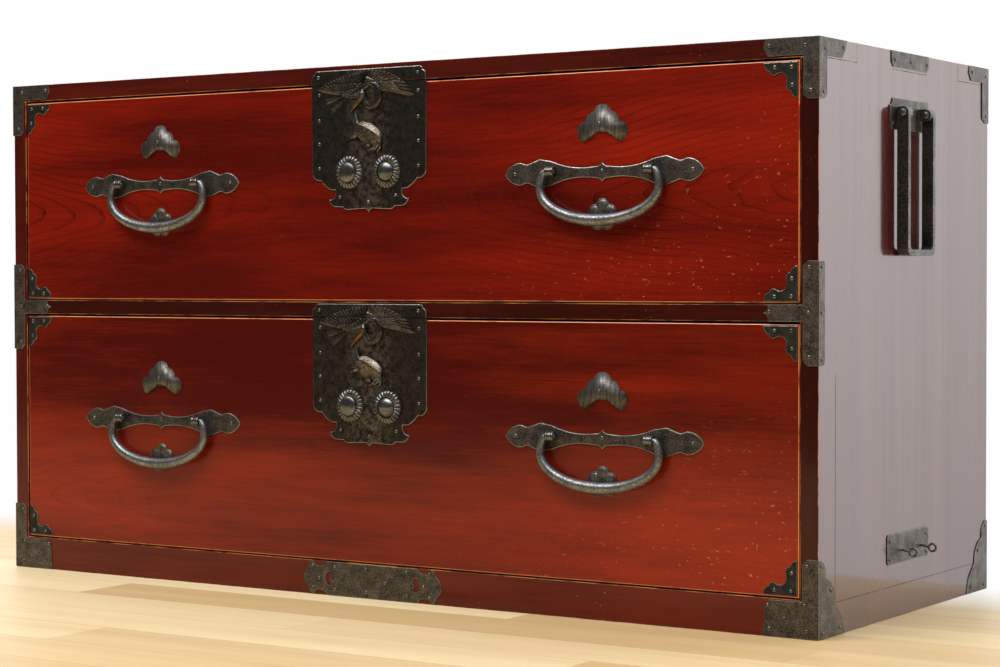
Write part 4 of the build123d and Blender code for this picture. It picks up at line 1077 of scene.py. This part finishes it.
def crane():
    """Crane in flight over the lock, wings spread, neck curled round to look down."""
    left_tips = [(-70, -3.5), (-62, 1.5), (-50, 6.5), (-41, 9.3), (-32, 11.6), (-22, 13.2), (-13, 14.2),
                 (-5, 15.3)]
    left_roots = [(-42, -9.5), (-36, -10.5), (-27, -10.5), (-19, -8.5), (-12, -5.5), (-6, -1), (-1, 4)]
    right_tips = [(65, -14.5), (59, -6), (52, 0), (42, 6.5), (33, 10), (23, 13), (13, 14.2), (4, 15.4)]
    right_roots = [(19, -6.5), (17.5, -4.5), (15.5, -2.5), (13, -0.5), (10, 1.5), (7, 3), (4, 4.5), (1, 6)]
    upper_tips = [(48, -10.5), (41, -3), (31, 3.5), (20, 7.5), (8, 10.5)]
    left_rows = (([(-38, -10), (-20, -9), (-8, -2)], (-5.0, 2.6)),
                 ([(-31, -12), (-18, -11), (-8, -6)], (-4.6, 1.8)))
    right_rows = (([(20, -4.5), (14, 1.0), (4, 8)], (4.4, 2.2)),
                  ([(17, -6.5), (11, -2), (2, 5.5)], (4.4, 2.0)))
    arm = [(-36, -11.5), (-20, -12), (-8, -5), (4, 3)]
    neck = [(-1, 5), (16, 1), (24, -13), (15, -32), (-2, -31), (-5, -19), (-5, -11)]
    head = [(-6.5, -5.6), (-5.4, -10), (-6.5, -15.5)]
    beak = [(-5.5, -12.5), (-10.5, -16), (-17, -22.5), (-23.6, -30)]
    leg = [(-34, -11.5), (-24, -14), (-14, -13.5), (-8, -11)]
    return [
        *wing(left_roots, left_tips, 16, 4.8, 1.9, 0.8),
        *wing(right_roots, right_tips, 13, 5.8, 2.1, 1.8),
        *wing([(16, -6.5), (12, -1.5), (5, 4)], upper_tips, 9, 5.2, 1.7, 1.2, lift=1.5),
        *scales(left_rows, 9, 3.6, 1.0, 1.5),
        *scales(right_rows, 7, 3.4, 1.0, 2.3),
        limb(arm, [1.4, 3.4, 4.6, 3.2], 0.55, proud=0.6),
        limb(neck, [5.0, 5.2, 5.4, 5.2, 4.6, 3.8, 3.4], 0.66, 30, proud=0.9),
        *neck_ruff(),
        limb(head, [2.0, 4.7, 3.2], 1.0, proud=1.4),
        limb(beak, [3.6, 2.9, 2.2, 0.9], proud=0.9, material=1),
        limb(leg, [1.2, 2.0, 2.2, 1.6], 0.7, 10, proud=0.6),
        *plume((-33, -12), (-55, -17.5), 4.0),
        *plume((-29, -14.5), (-48, -27.0), 3.6),
    ]


def cut_relief(piece, height, keep_above):
    """Keeps the part of a mesh over or under a height, closed at the cut."""
    work = bmesh.new()
    work.from_mesh(piece.data)
    cut = bmesh.ops.bisect_plane(work, geom=work.verts[:] + work.edges[:] + work.faces[:],
                                 plane_co=(0, 0, height), plane_no=(0, 0, 1), dist=1e-7,
                                 clear_inner=keep_above, clear_outer=not keep_above)
    rim = [e for e in cut["geom_cut"] if isinstance(e, bmesh.types.BMEdge)]
    bmesh.ops.holes_fill(work, edges=rim)
    work.to_mesh(piece.data)
    work.free()


def crane_pieces(lock):
    """The crane crosses the seam between keeper and lock plate, so it is cut there."""
    keeper_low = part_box(f"{lock.drawer}_lock_keeper")[0].z
    plate_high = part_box(f"{lock.drawer}_lock_plate")[1].z
    halves = (("keeper", "case", keeper_low), ("plate", f"{lock.drawer}_drawer", plate_high))
    for half, body, height in halves:
        name = f"{lock.drawer}_crane_{half}"
        piece = add_mesh(name, lock.placed(crane()), [RELIEF, GOLD], body, 55)
        cut_relief(piece, height, keep_above=half == "keeper")


SHELL_LONG, SHELL_WIDE = 20.0, 11.5
SHELL_TILT = -27.0
SHELL_COLUMNS, SHELL_ROWS = 44, 40
# Height of the shell across it, from its lower rim (-1) to its upper rim (1): a face, a crest, a steep band.
SHELL_PROFILE = ((-1.0, 0.9), (-0.96, 2.0), (-0.86, 2.5), (-0.5, 3.5), (0.0, 4.7), (0.26, 5.3), (0.34, 5.0),
                 (0.42, 5.5), (0.55, 4.7), (0.72, 3.5), (0.88, 2.2), (0.98, 1.2), (1.0, 0.9))
SHELL_RIM, SHELL_FOOT = 0.9, 0.4
SCUTE = 0.3


def shell(place):
    """Closed shell: a steep bright band above, and a face of scutes below it."""
    across = [-1.0 + 2 * i / SHELL_ROWS for i in range(SHELL_ROWS + 1)]
    heights = np.interp(across, *zip(*SHELL_PROFILE))
    verts = []
    for j in range(SHELL_COLUMNS + 1):
        turn = pi * j / SHELL_COLUMNS
        u = -SHELL_LONG * cos(turn)
        half = max(0.02, SHELL_WIDE * sin(turn) ** 0.85)
        spots = [place(u, s * half) for s in across]
        for s, height, spot in zip(across, heights, spots):
            scute = SCUTE * max(0.0, cos(u * 0.75) * cos(s * half * 1.1)) * (s < 0.3)
            verts.append((*spot, SHELL_RIM + (height - SHELL_RIM + scute) * sin(turn) ** 0.5))
        verts += [(*spot, SHELL_FOOT) for spot in reversed(spots)]
    return verts, rings_to_faces(SHELL_COLUMNS + 1, 2 * len(across), "open"), 0


def tortoise(lock):
    """Tortoise that looks up at the crane and covers the keyhole, on the stud that it turns on."""
    pivot = joint_at[f"{lock.drawer}_tortoise_swing"]
    stud = ((pivot.x - lock.x) / MM, (pivot.z - lock.top) / MM)
    middle = (1.0, stud[1] - 10.5)
    tilt = radians(SHELL_TILT)

    def place(along, across):
        return (middle[0] + along * cos(tilt) - across * sin(tilt),
                middle[1] + along * sin(tilt) + across * cos(tilt))

    def member(points, radii, flatness=0.9, proud=1.8, material=2):
        return limb([place(*p) for p in points], radii, flatness, 10, proud, material)

    parts = [
        shell(place),
        member([(-17, 3), (-20.5, 6), (-23, 9), (-25, 12.5)], [3.0, 2.4, 2.0, 1.2], proud=2.4),
        member([(-13, -6), (-14, -9), (-15, -11.5)], [3.0, 3.6, 2.4], 1.0, 2.2),
        member([(-15, -11), (-17.5, -13.5), (-20, -15)], [2.4, 1.8, 0.9], proud=1.6, material=1),
        member([(5, -8), (7, -11), (8, -13)], [3.0, 3.3, 2.2], 1.0, 2.2),
        member([(15, -3), (19, -5), (19, -9), (14, -14)], [2.6, 2.2, 1.8, 0.7], proud=1.6),
        member([(13, -6), (15, -9), (13, -13), (8, -18)], [2.0, 1.8, 1.4, 0.5], 0.8, 1.3),
        member([(17, -2), (22, -5), (23, -9), (20, -13)], [2.0, 1.8, 1.3, 0.5], 0.8, 1.3),
        tube([(*stud, 1.5), (*stud, -2)], 1.6, 12),
    ]
    piece = add_mesh(f"{lock.drawer}_tortoise_carved", lock.placed(parts), [TORTOISE, GOLD, BOSS],
                     f"{lock.drawer}_lock_tortoise", 60)
    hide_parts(f"{lock.drawer}_lock_tortoise")


for lock in map(Lock, DRAWERS):
    rosettes(lock)
    crane_pieces(lock)
    tortoise(lock)


# ---------------- camera, lights, stage
# The photograph's camera, fitted to the chest: where it stands and how it is turned, in radians.
CAMERA_AT = (1.5328, -2.3102, 0.3647)
YAW, PITCH, ROLL = 0.5779, -0.0256, -0.0018
# How bright the things are that the lacquer mirrors: the room in front, the wall behind, the ceiling.
ROOM_LEVEL = 0.03
WALL_LEFT, WALL_RIGHT = 1.242, 1.817
CEILING_LEVEL = 1.1


def add_camera():
    """Camera at the photograph's place."""
    data = bpy.data.cameras.new("camera")
    data.lens = 83.0
    camera = add_object("camera", data)
    turned = Matrix.Rotation(YAW, 4, "Z") @ Matrix.Rotation(pi / 2 + PITCH, 4, "X")
    camera.matrix_world = Matrix.Translation(CAMERA_AT) @ turned @ Matrix.Rotation(ROLL, 4, "Z")
    scene.camera = camera


def add_ceiling_panel():
    """Wide soft light over the front of the chest."""
    data = bpy.data.lights.new("ceiling_panel", "AREA")
    data.shape = "RECTANGLE"
    data.size, data.size_y = 2.6, 1.1
    data.energy = 64
    data.color = (1.0, 0.985, 0.96)
    light = add_object("ceiling_panel", data)
    light.location = (-0.3, -1.6, 2.5)
    aim = Vector((0, -0.1, 0.2)) - light.location
    light.rotation_euler = aim.to_track_quat("-Z", "Y").to_euler()
    light.visible_camera = False


def add_world():
    """White for the camera; for light and gloss a white wall behind, a dark room in front, a pale ceiling."""
    world = bpy.data.worlds.new("studio")
    scene.world = world
    world.use_nodes = True
    w = Nodes(world.node_tree)
    x, y, z = w.axes(w.add("ShaderNodeTexCoord", output="Generated"))
    wall = w.span(y, 0.05, 0.55, ROOM_LEVEL, 1.0) * w.span(x, 0.36, 0.42, WALL_LEFT, WALL_RIGHT)
    wall *= w.span(z, -0.12, 0.09, 0.74, 1.09)
    strength = w.math("MAXIMUM", wall, w.span(z, 0.35, 0.8, 0.0, CEILING_LEVEL))
    lit = w.add("ShaderNodeBackground", (0.965, 0.95, 0.945, 1), strength)
    white = w.add("ShaderNodeBackground", (1, 1, 1, 1))
    seen = w.add("ShaderNodeMixShader", w.add("ShaderNodeLightPath", output="Is Camera Ray"), lit, white)
    w.feed(w.tree.nodes["World Output"].inputs["Surface"], seen)


def add_floor():
    """Floor that ends behind the chest, where its planks have faded to white."""
    left, right, front, back = -2.6, 2.6, -2.2, 0.24
    corners = [(left, front, 0), (right, front, 0), (right, back, 0), (left, back, 0)]
    mesh = bpy.data.meshes.new("floor")
    mesh.from_pydata(corners, [], [(0, 1, 2, 3)])
    mesh.materials.append(floor_material())
    floor = add_object("floor", mesh)


add_camera()
add_ceiling_panel()
add_world()
add_floor()
scene.view_settings.view_transform = "Standard"
